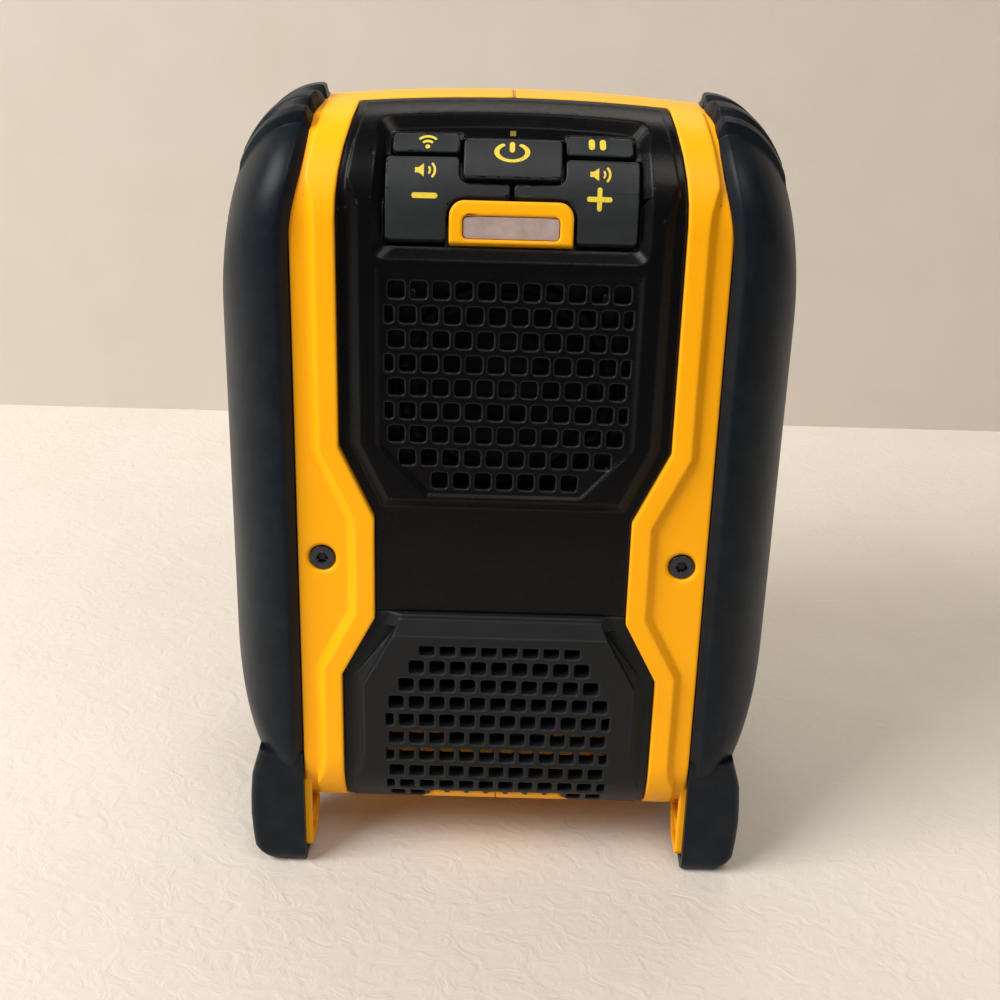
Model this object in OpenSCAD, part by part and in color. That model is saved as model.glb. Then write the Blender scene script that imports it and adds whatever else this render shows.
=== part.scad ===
// Wireless jobsite speaker: yellow side shells, soft bumpers with feet, a waisted front with two
// grilles and a curved key field, one driver, a reflex port and a slide-in battery bay.
// Millimetres. X runs to the right, Y to the rear, Z up. The origin is on the table under the middle.

/* [Housing] */
// Width across the two side shells, between the bumpers
shell_w = 102; // [98:1:108]
// Height of the crown of the roof above the table
housing_h = 204.5; // [198:0.5:212]
// Height of the underside of the housing above the table
foot_h = 14.5; // [12:0.5:17]
// Depth from the raised front band to the rear wall
housing_d = 122; // [116:1:130]
// Wall thickness of the side shells
wall = 3; // [2.6:0.1:3.4]
// Radius of the upper front edge
front_top_r = 24; // [20:1:28]
// Radius of the lower front edge
front_low_r = 22; // [18:1:24]
// Radius of the long arc of the roof
roof_r = 120; // [112:1:140]
// Radius of the upper rear edge
rear_top_r = 20; // [16:1:24]
// Radius of the lower rear edge
rear_low_r = 12; // [11:1:15]
// Radius of the side-to-side crown of the roof
crown_r = 440; // [380:10:600]
// How far the cheeks lie behind the raised band
cheek_drop = 2; // [1.4:0.1:2.6]
// Width of the raised band around the front panel
band_w = 7; // [5.5:0.5:8]
// How far the shell sides draw in towards the roof
roof_draw = 5; // [3:0.5:6]
// Height over which the sides draw in
draw_h = 25; // [20:1:30]
// Gap between pieces that sit against each other
gap = 0.3; // [0.2:0.05:0.4]

/* [Bumpers] */
// Width over both bumpers
overall_w = 142; // [138:1:148]
// Height of the lower edge of the bumpers above the table
bumper_z = 20; // [18:0.5:22]
// Thickness of the soft side wall
bumper_t = 3.2; // [2.6:0.1:3.8]
// How far a bumper stands proud of the housing outline
bumper_proud = 1; // [0.6:0.1:1.4]
// Width of the bevel along the inner edge of a bumper
bumper_bevel = 2.4; // [1.8:0.1:3]
// Share of the way to the middle of the side that the outer rounding takes
bumper_round = 0.5; // [0.42:0.02:0.56]
// Height of a corner rib
rib_h = 2.6; // [1.6:0.1:2.8]
// Length of a corner rib from front to rear
rib_l = 5.6; // [4.6:0.2:6]
// Spacing of the corner ribs
rib_pitch = 7.5; // [7.2:0.1:8.2]
// Number of corner ribs on a bumper
rib_count = 3; // [2:1:4]
// Width of a foot
foot_w = 15; // [13:0.5:16]
// Length of the sole of a foot from front to rear
sole_l = 12; // [9:1:15]
// Length of a foot where it meets the bumper
foot_l = 37; // [32:1:42]
// Thickness of the soft skin of a foot
foot_t = 3; // [2.4:0.1:3.4]

/* [Front panel] */
// Width of the front panel above and below its waist
panel_w = 80; // [76:1:84]
// Width of the waist
waist_w = 63; // [58:1:66]
// Distance of the shoulder, where the outline turns in, below the crown
shoulder_drop = 80.5; // [77.5:0.5:83.5]
// Distance of the top of the waist below the crown
waist_top_drop = 99; // [96.5:0.5:101.5]
// Height of the bottom of the waist
waist_low_z = 77.5; // [75:0.5:80]
// Height of the hip where the outline is wide again
hip_z = 61; // [58:1:64]
// How far the panel reaches back over the roof
panel_reach = 21; // [18:1:23]
// Thickness of the panel skin
panel_t = 2.6; // [2.2:0.1:3]
// How far the rim and waist lie behind the raised blocks
rim_drop = 1.6; // [1.2:0.1:2]
// Width of the low rim around the raised blocks
rim_w = 2.6; // [2:0.1:3.2]
// Angle at which the lower grille leans forward
lower_lean = 6.1; // [4:0.1:8]
// Height of the top edge of the lower block
ledge_z = 79; // [76:0.5:80]

/* [Grilles] */
// Spacing of the holes along a row
col_pitch = 5.25; // [5:0.05:5.4]
// Spacing of the upper rows
row_pitch = 5.95; // [5.7:0.05:6.1]
// Spacing of the lower rows
lower_pitch = 5.6; // [5.4:0.05:5.8]
// Width of a hole
hole_w = 3.9; // [3.4:0.1:4.2]
// Height of a hole
hole_h = 4.2; // [3.6:0.1:4.5]
// Corner radius of a hole
hole_r = 0.9; // [0.6:0.1:1.2]
// Half width of the perforated fields
field_half_w = 29; // [28:0.5:30]
// How deep the perforated fields are sunk
field_sink = 0.8; // [0.5:0.1:1.2]
// Distance of the middle of the first upper row below the crown
upper_row_drop = 41.3; // [39.5:0.1:43.5]
// Distance of the first lower row below the ledge
lower_row_drop = 7.8; // [7.4:0.2:9]

/* [Controls] */
// Tilt of the key plane away from upright
key_tilt = 30; // [26:1:34]
// Distance of the lower edge of the control recess below the crown
recess_drop = 33.2; // [31.7:0.1:35.5]
// Depth of the control recess
recess_depth = 2.2; // [1.8:0.1:2.4]
// Width of the sloping walls of the recess
recess_slope = 2.6; // [2:0.1:3]
// Angle around the upper front edge at which the recess ends
recess_end = 60; // [58:1:62]
// How far a key stands above the floor of the recess
key_rise = 1.3; // [0.9:0.1:1.6]
// Extra height of the power key
power_rise = 0.7; // [0.3:0.1:1]
// Width of the gap between neighbouring keys
key_gap = 1; // [0.8:0.1:1.3]
// Travel of a key
key_travel = 0.9; // [0.6:0.1:1]
// Half width of the volume key pair
volume_half_w = 28.8; // [28:0.2:29.4]
// Lower edge of the volume keys on the key plane
volume_v0 = 3.8; // [3.4:0.1:4.4]
// Upper edge of the volume keys on the key plane
volume_v1 = 21.6; // [21:0.1:22]
// Half width of the power key
power_half_w = 11.1; // [10:0.1:12]
// Lower edge of the power key
power_v0 = 16.6; // [16:0.1:17.4]
// Upper edge of the power key
power_v1 = 26; // [25:0.1:26.6]
// Outer edge of the pairing and pause keys
mode_half_w = 27.3; // [26.4:0.1:28]
// Upper edge of the pairing and pause keys
mode_v1 = 27.5; // [27:0.1:28]
// Half width of the indicator bezel
bezel_half_w = 14.2; // [13.4:0.1:15]
// Upper edge of the indicator bezel
bezel_v1 = 11.9; // [11:0.1:12.6]
// Width of the bezel frame beside the lens
bezel_frame = 3.2; // [2.6:0.1:3.6]

/* [Driver and port] */
// Outer diameter of the driver flange
driver_d = 60; // [56:1:62]
// Distance of the driver axis below the crown
driver_drop = 66.5; // [64.5:0.5:68.5]
// Diameter of the voice coil
coil_d = 16; // [14:0.5:18]
// Diameter of the magnet
magnet_d = 42; // [38:1:46]
// Travel of the cone each way from rest
cone_travel = 1.5; // [0.8:0.1:2]
// Bore of the reflex port
port_bore = 28; // [24:1:30]
// Length of the reflex port
port_l = 42; // [34:1:48]
// Height of the reflex port axis
port_z = 60; // [58:1:61]

/* [Rear] */
// Width of the rear panel
rear_w = 86; // [82:1:88]
// Inner width of the battery bay
bay_w = 66; // [64:0.5:68]
// Depth of the battery bay from the rear wall
bay_d = 29; // [26:0.5:31]
// Height of the floor of the battery bay
bay_z = 54; // [52:0.5:57]
// Distance between the outer faces of the battery rails
rail_w = 58; // [54:0.5:60]
// Bore of the audio socket
jack_bore = 3.6; // [3.5:0.05:3.8]
// Bore of the power socket
inlet_bore = 5.6; // [5.4:0.05:6.2]
// Width of the socket cover
cover_w = 36; // [34:0.5:38]
// Height of the socket cover
cover_h = 12; // [11:0.5:13]
// Shank diameter of the housing screws
screw_d = 3; // [2.6:0.1:3.2]

/* [Hidden] */
$fn = 64;
eps = 0.05;
yellow = "#feb90a";
black = "#141416";
charcoal = "#26282a";
half_w = shell_w / 2;

// Lower front: a straight lean that runs on from the lower rounding
lean_top_z = ledge_z - 4;
lean_foot_z = foot_h + front_low_r - front_low_r * sin(lower_lean);
lean_l = (lean_top_z - lean_foot_z) / cos(lower_lean);
lower_bulge = lean_l * sin(lower_lean) - front_low_r * (1 - cos(lower_lean));

// Planes and centres of the side profile
y_front = (lower_bulge - housing_d - bumper_proud) / 2;
y_rear = y_front + housing_d;
roof_y = y_front + front_top_r;
roof_z = housing_h - roof_r;
rear_top_y = y_rear - rear_top_r;
rear_top_z = roof_z + sqrt(pow(roof_r - rear_top_r, 2) - pow(rear_top_y - roof_y, 2));
roof_end = atan2(rear_top_z - roof_z, rear_top_y - roof_y);
crown_split_z = 100;
crown_axis_z = housing_h - crown_r;
crown_sweep = 12;
draw_z = housing_h - draw_h;
draw_r = (draw_h * draw_h + roof_draw * roof_draw) / (2 * roof_draw);
shoulder_z = housing_h - shoulder_drop;
waist_top_z = housing_h - waist_top_drop;
upper_row_z = housing_h - upper_row_drop;
recess_z = housing_h - recess_drop;
driver_z = housing_h - driver_drop;
panel_back_y = y_front + panel_reach;
far = 300;

// Side and bottom limits of the inside
cavity_half_w = half_w - wall;
panel_in_y = y_front + rim_drop + panel_t;

// Screw sizes
head_d = screw_d * 2.07;
head_h = screw_d * 0.47;
sink_d = head_d + 2 * gap;
cheek_screw_x = half_w - 6;
cheek_screw_z = (waist_top_z + waist_low_z) / 2 + 1.7;
cheek_screw_l = 12;
rear_screw_l = 12;
flange_screw_d = 2.5;
flange_screw_l = 6;
panel_screw_d = 1.6;
panel_screw_l = 5;
board_screw_d = 2;
board_screw_l = 7;
boss_d = screw_d + 5;

// Key plane heights, measured along its normal from the lower edge of the recess
board_z = -5.5;
board_t = 1.6;
key_foot_z = -3.6;
pad_t = 0.2;
stem_d = 4;
stem_foot_z = board_z + pad_t + key_travel + 0.15;
key_floor_inset = recess_depth - key_rise;

// Baffle and driver planes
baffle_t = 3;
baffle_y = y_front + cheek_drop + wall;
driver_y = baffle_y + baffle_t;
baffle_z0 = waist_top_z - 3;
baffle_z1 = driver_z + driver_d / 2 + 1;
gasket_t = 0.8;
flange_t = 1.2;
cone_r = driver_d / 2 - 7;
roll_r = 1.7;
roll_mid_r = cone_r + gap + roll_r;
basket_depth = 18;
plate_t = 4;
magnet_t = 8;
coil_gap = 0.35;
pole_r = coil_d / 2 - 0.7;
former_t = 0.35;

// Bulkhead and port
bulkhead_y = baffle_y + 4;
bulkhead_t = 2.5;
bulkhead_z1 = waist_low_z + 10.5;
port_t = 2;
port_flange = 9;

// Rear panel, bay and boards
rear_inset = 0.3;
rear_t = 3;
rear_z0 = bumper_z + rear_low_r + 1;
rear_z1 = housing_h - 36.5;
bay_wall = 2.5;
bay_back_y = y_rear - bay_d;
rail_t = 3;
rail_lip = 4;
rail_rise = 6;
rail_l = 50;
board_post_l = 8.5;
board_post_d = 6;
board_inset = 5;
board_rise = 14;
board_head = 16;
board_y = bay_back_y - bay_wall - board_post_l;
main_board_w = 68;
main_board_z0 = bay_z + board_rise;
main_board_h = rear_z1 - board_head - main_board_z0;
cover_z = (rear_z0 + bay_z - bay_wall) / 2 - 0.4;
cover_t = 2;
cover_x = -8;
hinge_pin_r = 1.1;
jack_x = cover_x - 9;
inlet_x = cover_x + 8;
rear_screw_edge = 4.2;
rear_screw_low = 7;
rear_screw_high = 22;
rear_screw_x = rear_w / 2 - rear_screw_edge;
rear_screw_zs = [rear_z0 + rear_screw_low, rear_z1 - rear_screw_high];
rear_boss_d = min(boss_d, 2 * (rear_screw_x - bay_w / 2 - bay_wall - gap));

// Outline of the housing seen from the side, in Y and Z. The front may lie further back by shift.
module side_profile(inset = 0, shift = 0) {
    top_r = front_top_r - shift - inset;
    low_r = front_low_r - shift - inset;
    top_c = [roof_y, housing_h - front_top_r + shift];
    low_c = [y_front + front_low_r, foot_h + front_low_r - shift];
    y0 = y_front + shift + inset;
    y1 = y_rear - inset;
    roof = roof_r - inset;
    rear_low_c = [y_rear - rear_low_r, foot_h + rear_low_r];
    roof_tip = [roof_y + roof * cos(roof_end), roof_z + roof * sin(roof_end)];
    polygon([
        [y0, low_c[1]], [y0, top_c[1]], [roof_y, housing_h - inset], roof_tip, [y1, rear_top_z],
        [y1, rear_low_c[1]], [rear_low_c[0], foot_h + inset], [low_c[0], foot_h + inset]
    ]);
    translate(top_c)
        circle(top_r);
    translate(low_c)
        circle(low_r);
    translate([rear_top_y, rear_top_z])
        circle(rear_top_r - inset);
    translate(rear_low_c)
        circle(rear_low_r - inset);
    intersection() {
        translate([roof_y, roof_z])
            circle(roof, $fn = 180);
        polygon([[roof_y, roof_z], [roof_y, housing_h + 9], [roof_tip[0] + 9, housing_h + 9],
                 [roof_y + (roof + 9) * cos(roof_end), roof_z + (roof + 9) * sin(roof_end)]]);
    }
}

// Solid of the side profile, crowned from side to side over its upper half
module housing(inset = 0, shift = 0) {
    multmatrix([[0, 1, 0, 0], [0, 0, 1, 0], [1, 0, 0, crown_axis_z], [0, 0, 0, 1]])
        rotate([0, 0, -crown_sweep])
            rotate_extrude(angle = 2 * crown_sweep, $fn = 360)
                translate([-crown_axis_z, 0])
                    mirror([1, -1])
                        intersection() {
                            side_profile(inset, shift);
                            translate([-far / 2, crown_split_z])
                                square(far);
                        }
    rotate([90, 0, 90])
        linear_extrude(shell_w + 30, center = true)
            intersection() {
                side_profile(inset, shift);
                translate([-far / 2, crown_split_z + eps - far])
                    square(far);
            }
}

// What the cheeks lose in front of their lower face, in Y and Z
module cheek_cut() {
    lift = 0.4;
    top_c = [roof_y + cheek_drop, housing_h - front_top_r - crown_dip + lift];
    low_c = [y_front + front_low_r + cheek_drop, foot_h + front_low_r - lift];
    difference() {
        translate([y_front - 20, foot_h - 20])
            square([front_low_r + 20, housing_h - foot_h + 40]);
        translate(top_c)
            circle(front_top_r);
        translate(low_c)
            circle(front_low_r);
        translate([y_front + cheek_drop, low_c[1]])
            square([far, top_c[1] - low_c[1]]);
    }
}

// How far the sides are drawn in at a height, and the drawn-in edge from a half width
function drawn(z) = z < draw_z ? 0 : draw_r - sqrt(draw_r * draw_r - pow(z - draw_z, 2));
function draw_edge(x, n = 9) =
    [for (k = [0 : n]) let (z = draw_z + k * (draw_h + 20) / n) [x - drawn(z), z]];

// Right-hand half between the seam and the bumper seat, drawn in towards the roof
module side_limit(inset = 0, seam = gap / 3) {
    rotate([90, 0, 0])
        linear_extrude(far, center = true)
            polygon(concat([[seam, -9], [half_w - inset, -9]], draw_edge(half_w - inset),
                           [[seam, housing_h + 20]]));
}

// Points along an arc, for the lofted sides
function arc(c, r, a0, a1, n) =
    [for (k = [0 : n]) c + r * [cos(a0 + (a1 - a0) * k / n), sin(a0 + (a1 - a0) * k / n)]];
function line_points(a, b, n) = [for (k = [1 : n]) a + (b - a) * k / (n + 1)];

// Height of the roof line at a place along Y
function roof_at(y, inset) = y < roof_y
    ? housing_h - front_top_r + sqrt(pow(front_top_r - inset, 2) - pow(y - roof_y, 2))
    : roof_z + sqrt(pow(roof_r - inset, 2) - pow(y - roof_y, 2));

// Lowering of the roof line where the bumpers sit on the crown
crown_dip = pow(half_w - 4, 2) / (2 * crown_r);
function dipped(loop) = [for (p = loop)
    [p[0], p[1] - crown_dip * max(0, p[1] - crown_split_z) / (housing_h - crown_split_z)]];

// Closed loop of the side profile in Y and Z, with ribs of height h stepping up along the roof
rib_y0 = roof_y - 8.6;
rib_y1 = rib_y0 + rib_count * rib_pitch;
rib_edge = 0.4;
function rib_loop(inset, h) = [for (k = [0 : rib_count - 1])
    let (y = rib_y0 + k * rib_pitch)
        each [[y, roof_at(y, inset)],
              [y + rib_edge, roof_at(y + rib_edge, inset - h)],
              [y + rib_l, roof_at(y + rib_l, inset - h)],
              [y + rib_l + rib_edge, roof_at(y + rib_l + rib_edge, inset)]]];
function rise_angle(y, r) = acos((y - roof_y) / r);
function side_loop(inset, h = 0) =
    let (
        low_c = [y_front + front_low_r, bumper_z + front_low_r],
        top_c = [roof_y, housing_h - front_top_r],
        rear_low_c = [y_rear - rear_low_r, bumper_z + rear_low_r],
        y0 = y_front + inset,
        y1 = y_rear - inset,
        roof = roof_r - inset
    )
    dipped(concat(
        arc(low_c, front_low_r - inset, 270, 180, 5),
        line_points([y0, low_c[1]], [y0, top_c[1]], 3),
        arc(top_c, front_top_r - inset, 180, rise_angle(rib_y0, front_top_r - inset) + 6, 4),
        rib_loop(inset, h),
        arc([roof_y, roof_z], roof, rise_angle(rib_y1, roof), roof_end, 5),
        arc([rear_top_y, rear_top_z], rear_top_r - inset, roof_end - 8, 0, 3),
        line_points([y1, rear_top_z], [y1, rear_low_c[1]], 3),
        arc(rear_low_c, rear_low_r - inset, 0, -90, 4),
        line_points([rear_low_c[0], bumper_z + inset], [low_c[0], bumper_z + inset], 3)
    ));

// Middle of a side, to which the lofted rings draw in
side_mid = [(y_front + y_rear) / 2, (bumper_z + housing_h) / 2 - 6];
function bulge(s) = sqrt(1 - pow(1 - s, 2));
// Seat of a bumper on the shell at a height
function seat_x(z) = half_w - drawn(z);
// One ring: a loop drawn in by t, at the share w of the way from the seat to the outer face
function ring(loop, t, w, seat_gap, x_out) = [for (p = loop)
    let (q = p + (side_mid - p) * t, x0 = seat_x(p[1]) + seat_gap)
        [x0 + w * (x_out - x0), q[0], q[1]]];

// Closed skin through rings, with a point at each end
module loft(rings, first, last) {
    n = len(rings[0]);
    m = len(rings);
    points = concat([first], [for (r = rings) each r], [last]);
    faces = concat(
        [for (j = [0 : n - 1]) [0, 1 + (j + 1) % n, 1 + j]],
        [for (k = [0 : m - 2]) for (j = [0 : n - 1]) each [
            [1 + k * n + j, 1 + k * n + (j + 1) % n, 1 + (k + 1) * n + j],
            [1 + k * n + (j + 1) % n, 1 + (k + 1) * n + (j + 1) % n, 1 + (k + 1) * n + j]]],
        [for (j = [0 : n - 1]) [1 + (m - 1) * n + j, 1 + (m - 1) * n + (j + 1) % n, 1 + m * n]]
    );
    polyhedron(points, faces);
}

// Inset of the bumper seat from the housing outline, and thickness of the dome under it
bumper_seat = 7;
dome_t = 2.5;
dome_x = overall_w / 2 - bumper_t;
dome_base = -1;
loft_steps = 6;

// Hollow side dome of the right-hand shell, under the bumper
module side_dome() {
    outer = side_loop(bumper_seat + gap);
    inner = side_loop(bumper_seat + gap + dome_t);
    x_in = dome_x - gap - dome_t;
    rings = concat(
        [for (k = [loft_steps : -1 : 1]) let (s = k / loft_steps)
            ring(inner, s * bumper_round, bulge(s), dome_base, x_in)],
        [ring(inner, 0, 0, dome_base, x_in)],
        [ring(outer, 0, 0, dome_base, dome_x - gap)],
        [for (k = [1 : loft_steps]) let (s = k / loft_steps)
            ring(outer, s * bumper_round, bulge(s), dome_base, dome_x - gap)]
    );
    loft(rings, [x_in, side_mid[0], side_mid[1]], [dome_x - gap, side_mid[0], side_mid[1]]);
}

// Skin of the right-hand bumper with its stepped corner ribs
module bumper_skin() {
    x_out = overall_w / 2;
    seat = gap;
    w_bevel = bumper_bevel / (x_out - half_w);
    rib_share = 0.28;
    shares = [0.04, 0.12, 0.2, rib_share, rib_share + 0.015, 0.43, 0.6, 0.8, 1];
    inner = side_loop(bumper_seat);
    rim = side_loop(cheek_drop - 0.8);
    rings = concat(
        [for (k = [loft_steps : -1 : 1]) let (s = k / loft_steps)
            ring(inner, s * bumper_round, bulge(s), seat, dome_x)],
        [ring(inner, 0, 0, seat, dome_x), ring(rim, 0, 0, seat, x_out)],
        [ring(side_loop(-bumper_proud, rib_h), 0, w_bevel, seat, x_out)],
        [for (s = shares)
            ring(side_loop(-bumper_proud, s > rib_share ? 0 : rib_h), s * bumper_round,
                 w_bevel + (1 - w_bevel) * bulge(s), seat, x_out)]
    );
    loft(rings, [dome_x, side_mid[0], side_mid[1]], [x_out, side_mid[0], side_mid[1]]);
}

// Side outline of the front foot in Y and Z, with a rounded toe
module foot_outline() {
    y0 = y_front + 1.5;
    toe_r = 5;
    top = bumper_z + 16;
    polygon([
        [y0, toe_r], [y0, top], [y0 + foot_l, top], [y0 + foot_l, bumper_z + 5],
        [y0 + sole_l + toe_r, 0], [y0 + toe_r, 0], [y0 + toe_r, toe_r]
    ]);
    translate([y0 + toe_r, toe_r])
        circle(toe_r);
}
// Side outline of the space inside a foot
module foot_inside(inset, top) {
    y0 = y_front + 1.5 + inset;
    chamfer = 2;
    polygon([
        [y0, inset + chamfer], [y0, top], [y0 + foot_l - 2 * inset, top],
        [y0 + foot_l - 2 * inset, bumper_z + 5],
        [y0 + sole_l + 5 - 1.6 * inset, inset], [y0 + chamfer, inset]
    ]);
}

// Front outline of a foot in X and Z, tucked in under the bumper
module foot_front() {
    x0 = half_w + gap;
    x1 = half_w + foot_w;
    polygon([[x0, 0], [x1 - 4.5, 0], [x1 - 0.8, 5], [x1, 16], [x1 - 0.7, bumper_z + 8],
             [x1 - 3, bumper_z + 16], [x0, bumper_z + 16]]);
}

module foot_pair() {
    for (turn = [0, 1])
        translate([0, turn * (y_front + y_rear), 0])
            mirror([0, turn, 0])
                children();
}

module foot_solid() {
    intersection() {
        rotate([90, 0, 90])
            linear_extrude(far)
                foot_outline();
        rotate([90, 0, 0])
            linear_extrude(far, center = true)
                foot_front();
    }
}

// Soft over-mould of the right-hand side: side skin, ribs and two feet
module side_bumper() {
    color(charcoal)
        difference() {
            union() {
                bumper_skin();
                foot_pair()
                    foot_solid();
            }
            foot_pair()
                foot_core_space();
            dome_clearance();
        }
}

// Space of a foot core inside the soft skin of the foot
foot_core_x = half_w + foot_w - foot_t;
foot_core_top = bumper_z + 14;
module foot_core_space(clear = 0, top = foot_core_top) {
    rotate([90, 0, 90])
        translate([0, 0, half_w - 5])
            linear_extrude(foot_core_x - half_w + 5 - clear)
                foot_inside(foot_t + clear, top - clear);
}

// Room for the side dome where the feet run up beside it
module dome_clearance() {
    rotate([90, 0, 90])
        translate([0, 0, half_w])
            linear_extrude(foot_w - foot_t)
                intersection() {
                    polygon(side_loop(bumper_seat - gap / 2));
                    translate([-far / 2, 0])
                        square([far, bumper_z + 17]);
                }
}

// Foot core of the right-hand shell: a wedge, hollow and open to the middle, with two webs
web_t = 1.2;
module foot_core() {
    core_x0 = half_w - 1.4;
    core_wall = 1.4;
    difference() {
        intersection() {
            foot_core_space(gap);
            translate([core_x0, -far / 2, 0])
                cube([far, far, far]);
        }
        difference() {
            translate([-core_wall, 0, 0])
                foot_core_space(gap + core_wall, bumper_z + 5.2 + gap + core_wall);
            translate([half_w - 9, y_front + 18, 0])
                cube([far, web_t, far]);
            translate([half_w - 9, -far / 2, bumper_z - 9])
                cube([far, far, web_t]);
        }
    }
}

// Half outlines of the front panel in X and Z, as three convex pieces
module panel_upper() {
    edge = draw_edge(panel_w / 2);
    right = concat([[waist_w / 2, waist_top_z], [panel_w / 2, shoulder_z]], edge);
    left = [for (k = [len(right) - 1 : -1 : 0]) [-right[k][0], right[k][1]]];
    polygon(concat(right, left));
}
module panel_waist() {
    translate([-waist_w / 2, waist_low_z - 1])
        square([waist_w, waist_top_z - waist_low_z + 2]);
}
module panel_lower(top = waist_low_z) {
    x = panel_w / 2;
    slope = (panel_w - waist_w) / 2 / (waist_low_z - hip_z);
    top_x = x - slope * (top - hip_z);
    polygon([[-top_x, top], [-x, hip_z], [-x, 0], [x, 0], [x, hip_z], [top_x, top]]);
}
module panel_outline(grow = 0) {
    offset(delta = grow)
        union() {
            panel_upper();
            panel_waist();
            panel_lower();
        }
}

// Prism along Y of a front outline
module front_prism(y0, y1) {
    translate([0, y1, 0])
        rotate([90, 0, 0])
            linear_extrude(y1 - y0)
                children();
}

// Space of the front panel and lower grille
module panel_space(grow = 0) {
    front_prism(y_front - 20, panel_back_y + grow)
        panel_outline(grow);
}

// One convex outline piece along Y: a bevelled front that widens by spread a millimetre, then straight
module bevelled_piece(k, grow, y_low, y_back, spread) {
    lead = 4;
    hull() {
        front_prism(y_low - lead - eps, y_low - lead)
            offset(delta = grow - lead * spread)
                outline_piece(k);
        front_prism(y_low, y_back)
            offset(delta = grow)
                outline_piece(k);
    }
}

// Raised band: the panel outline grown outwards, with a bevel down to the cheek
module band_space() {
    sunk = 0.6;
    for (k = [0 : 2])
        bevelled_piece(k, band_w + sunk, y_front + cheek_drop + sunk, roof_y + 4, 1);
}
module outline_piece(k) {
    if (k == 0)
        panel_upper();
    if (k == 1)
        panel_waist();
    if (k == 2)
        panel_lower();
    if (k == 3)
        panel_lower(ledge_z + 2 * (rim_w + block_bevel));
}

// Space of the rear panel
module rear_space(grow = 0) {
    translate([-rear_w / 2 - grow, 20, rear_z0 - grow])
        cube([rear_w + 2 * grow, far, rear_z1 - rear_z0 + 2 * grow]);
}

// Screw hole along Y with a sunk head, from y0 towards +Y
module screw_hole(y0, l, bore) {
    rotate([-90, 0, 0]) {
        translate([0, 0, y0 - eps])
            cylinder(d1 = sink_d + 2, d2 = sink_d, h = 0.6);
        translate([0, 0, y0 - 5])
            cylinder(d = sink_d, h = 5 + head_h + 0.2);
        translate([0, 0, y0])
            cylinder(d = bore, h = l);
    }
}
function pan_d(d) = 2 * d;
function pan_h(d) = 0.6 * d;
module machine_screw(l, d, head, h) {
    six_lobe_d = head * 0.45;
    difference() {
        union() {
            cylinder(d = head, h = h);
            translate([0, 0, h - eps])
                cylinder(d = d, h = l - h + eps);
        }
        translate([0, 0, -eps])
            for (k = [0 : 2])
                rotate(k * 60)
                    translate([-six_lobe_d / 2, -six_lobe_d / 6, 0])
                        cube([six_lobe_d, six_lobe_d / 3, h * 0.6]);
    }
}

// Boss on the right-hand shell for a rear screw, webbed to the side wall
rear_boss_l = 14;
module rear_boss(z) {
    y1 = y_rear - rear_inset - rear_t - gap;
    translate([rear_screw_x, y1, z])
        rotate([90, 0, 0])
            cylinder(d = rear_boss_d, h = rear_boss_l);
    translate([rear_screw_x, y1 - rear_boss_l, z - 1.2])
        cube([cavity_half_w - rear_screw_x + 1, rear_boss_l, 2.4]);
}

// Bulkhead half behind the lower grille, with the seat of the reflex port
module bulkhead() {
    difference() {
        intersection() {
            housing(rim_drop + panel_t + 2 * gap);
            intersection() {
                translate([0, bulkhead_y, 0])
                    cube([half_w, bulkhead_t, bulkhead_z1]);
                side_limit(1);
            }
        }
        translate([0, bulkhead_y + bulkhead_t / 2, port_z])
            rotate([90, 0, 0])
                cylinder(d = port_bore + 2 * port_t + 2 * gap, h = bulkhead_t + 2, center = true);
    }
}

// Rib on the side wall that holds the baffle against the cheek
module baffle_rib() {
    z0 = max(baffle_z0 + 2, ear_top_z);
    translate([cavity_half_w - 3, driver_y, z0])
        cube([3 + wall / 2, 2, baffle_z1 - 2 - z0]);
}

// Opening for the front panel, less the tongue that fills the notch of the lower grille
module front_opening() {
    difference() {
        panel_space(gap);
        translate([0, 0, foot_h - 1])
            linear_extrude(front_low_r / 2)
                notch_outline(gap);
    }
}

// Outer skin of the right-hand shell, with cheek, raised band and the window under the dome
module shell_skin() {
    window = bumper_seat + dome_t + 4;
    difference() {
        intersection() {
            difference() {
                housing();
                difference() {
                    rotate([90, 0, 90])
                        linear_extrude(half_w + 9)
                            cheek_cut();
                    band_space();
                }
                intersection() {
                    housing(wall, cheek_drop);
                    side_limit(wall, -9);
                }
            }
            side_limit();
        }
        rotate([90, 0, 90])
            translate([0, 0, half_w - wall - 4])
                linear_extrude(wall + 9)
                    polygon([
                        [y_front + window, bumper_z + front_low_r],
                        [y_front + window, housing_h - front_top_r],
                        [roof_y, housing_h - window],
                        [rear_top_y, rear_top_z + rear_top_r - window],
                        [y_rear - window, rear_top_z],
                        [y_rear - window, bumper_z + window + 6],
                        [y_rear - window - 6, bumper_z + window],
                        [y_front + front_low_r, bumper_z + window]
                    ]);
        front_opening();
        rear_space(gap);
    }
}

// Right-hand shell
module side_shell() {
    color(yellow)
        difference() {
            union() {
                shell_skin();
                side_dome();
                foot_pair()
                    foot_core();
                bulkhead();
                baffle_rib();
                for (z = rear_screw_zs)
                    rear_boss(z);
            }
            translate([cheek_screw_x, 0, cheek_screw_z])
                screw_hole(y_front + cheek_drop, wall + 9, screw_d + 0.4);
            for (z = rear_screw_zs)
                translate([rear_screw_x, y_rear, z])
                    rotate([90, 0, 0])
                        cylinder(d = screw_d + 0.2, h = rear_boss_l + rear_t + 9);
            seam_notch();
        }
}

// Small notch where the two shells meet at the front of the roof
module seam_notch() {
    translate([0, panel_back_y - 1, housing_h - 1])
        rotate([0, 45, 0])
            cube([1.1, 22, 1.1], center = true);
}

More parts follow.
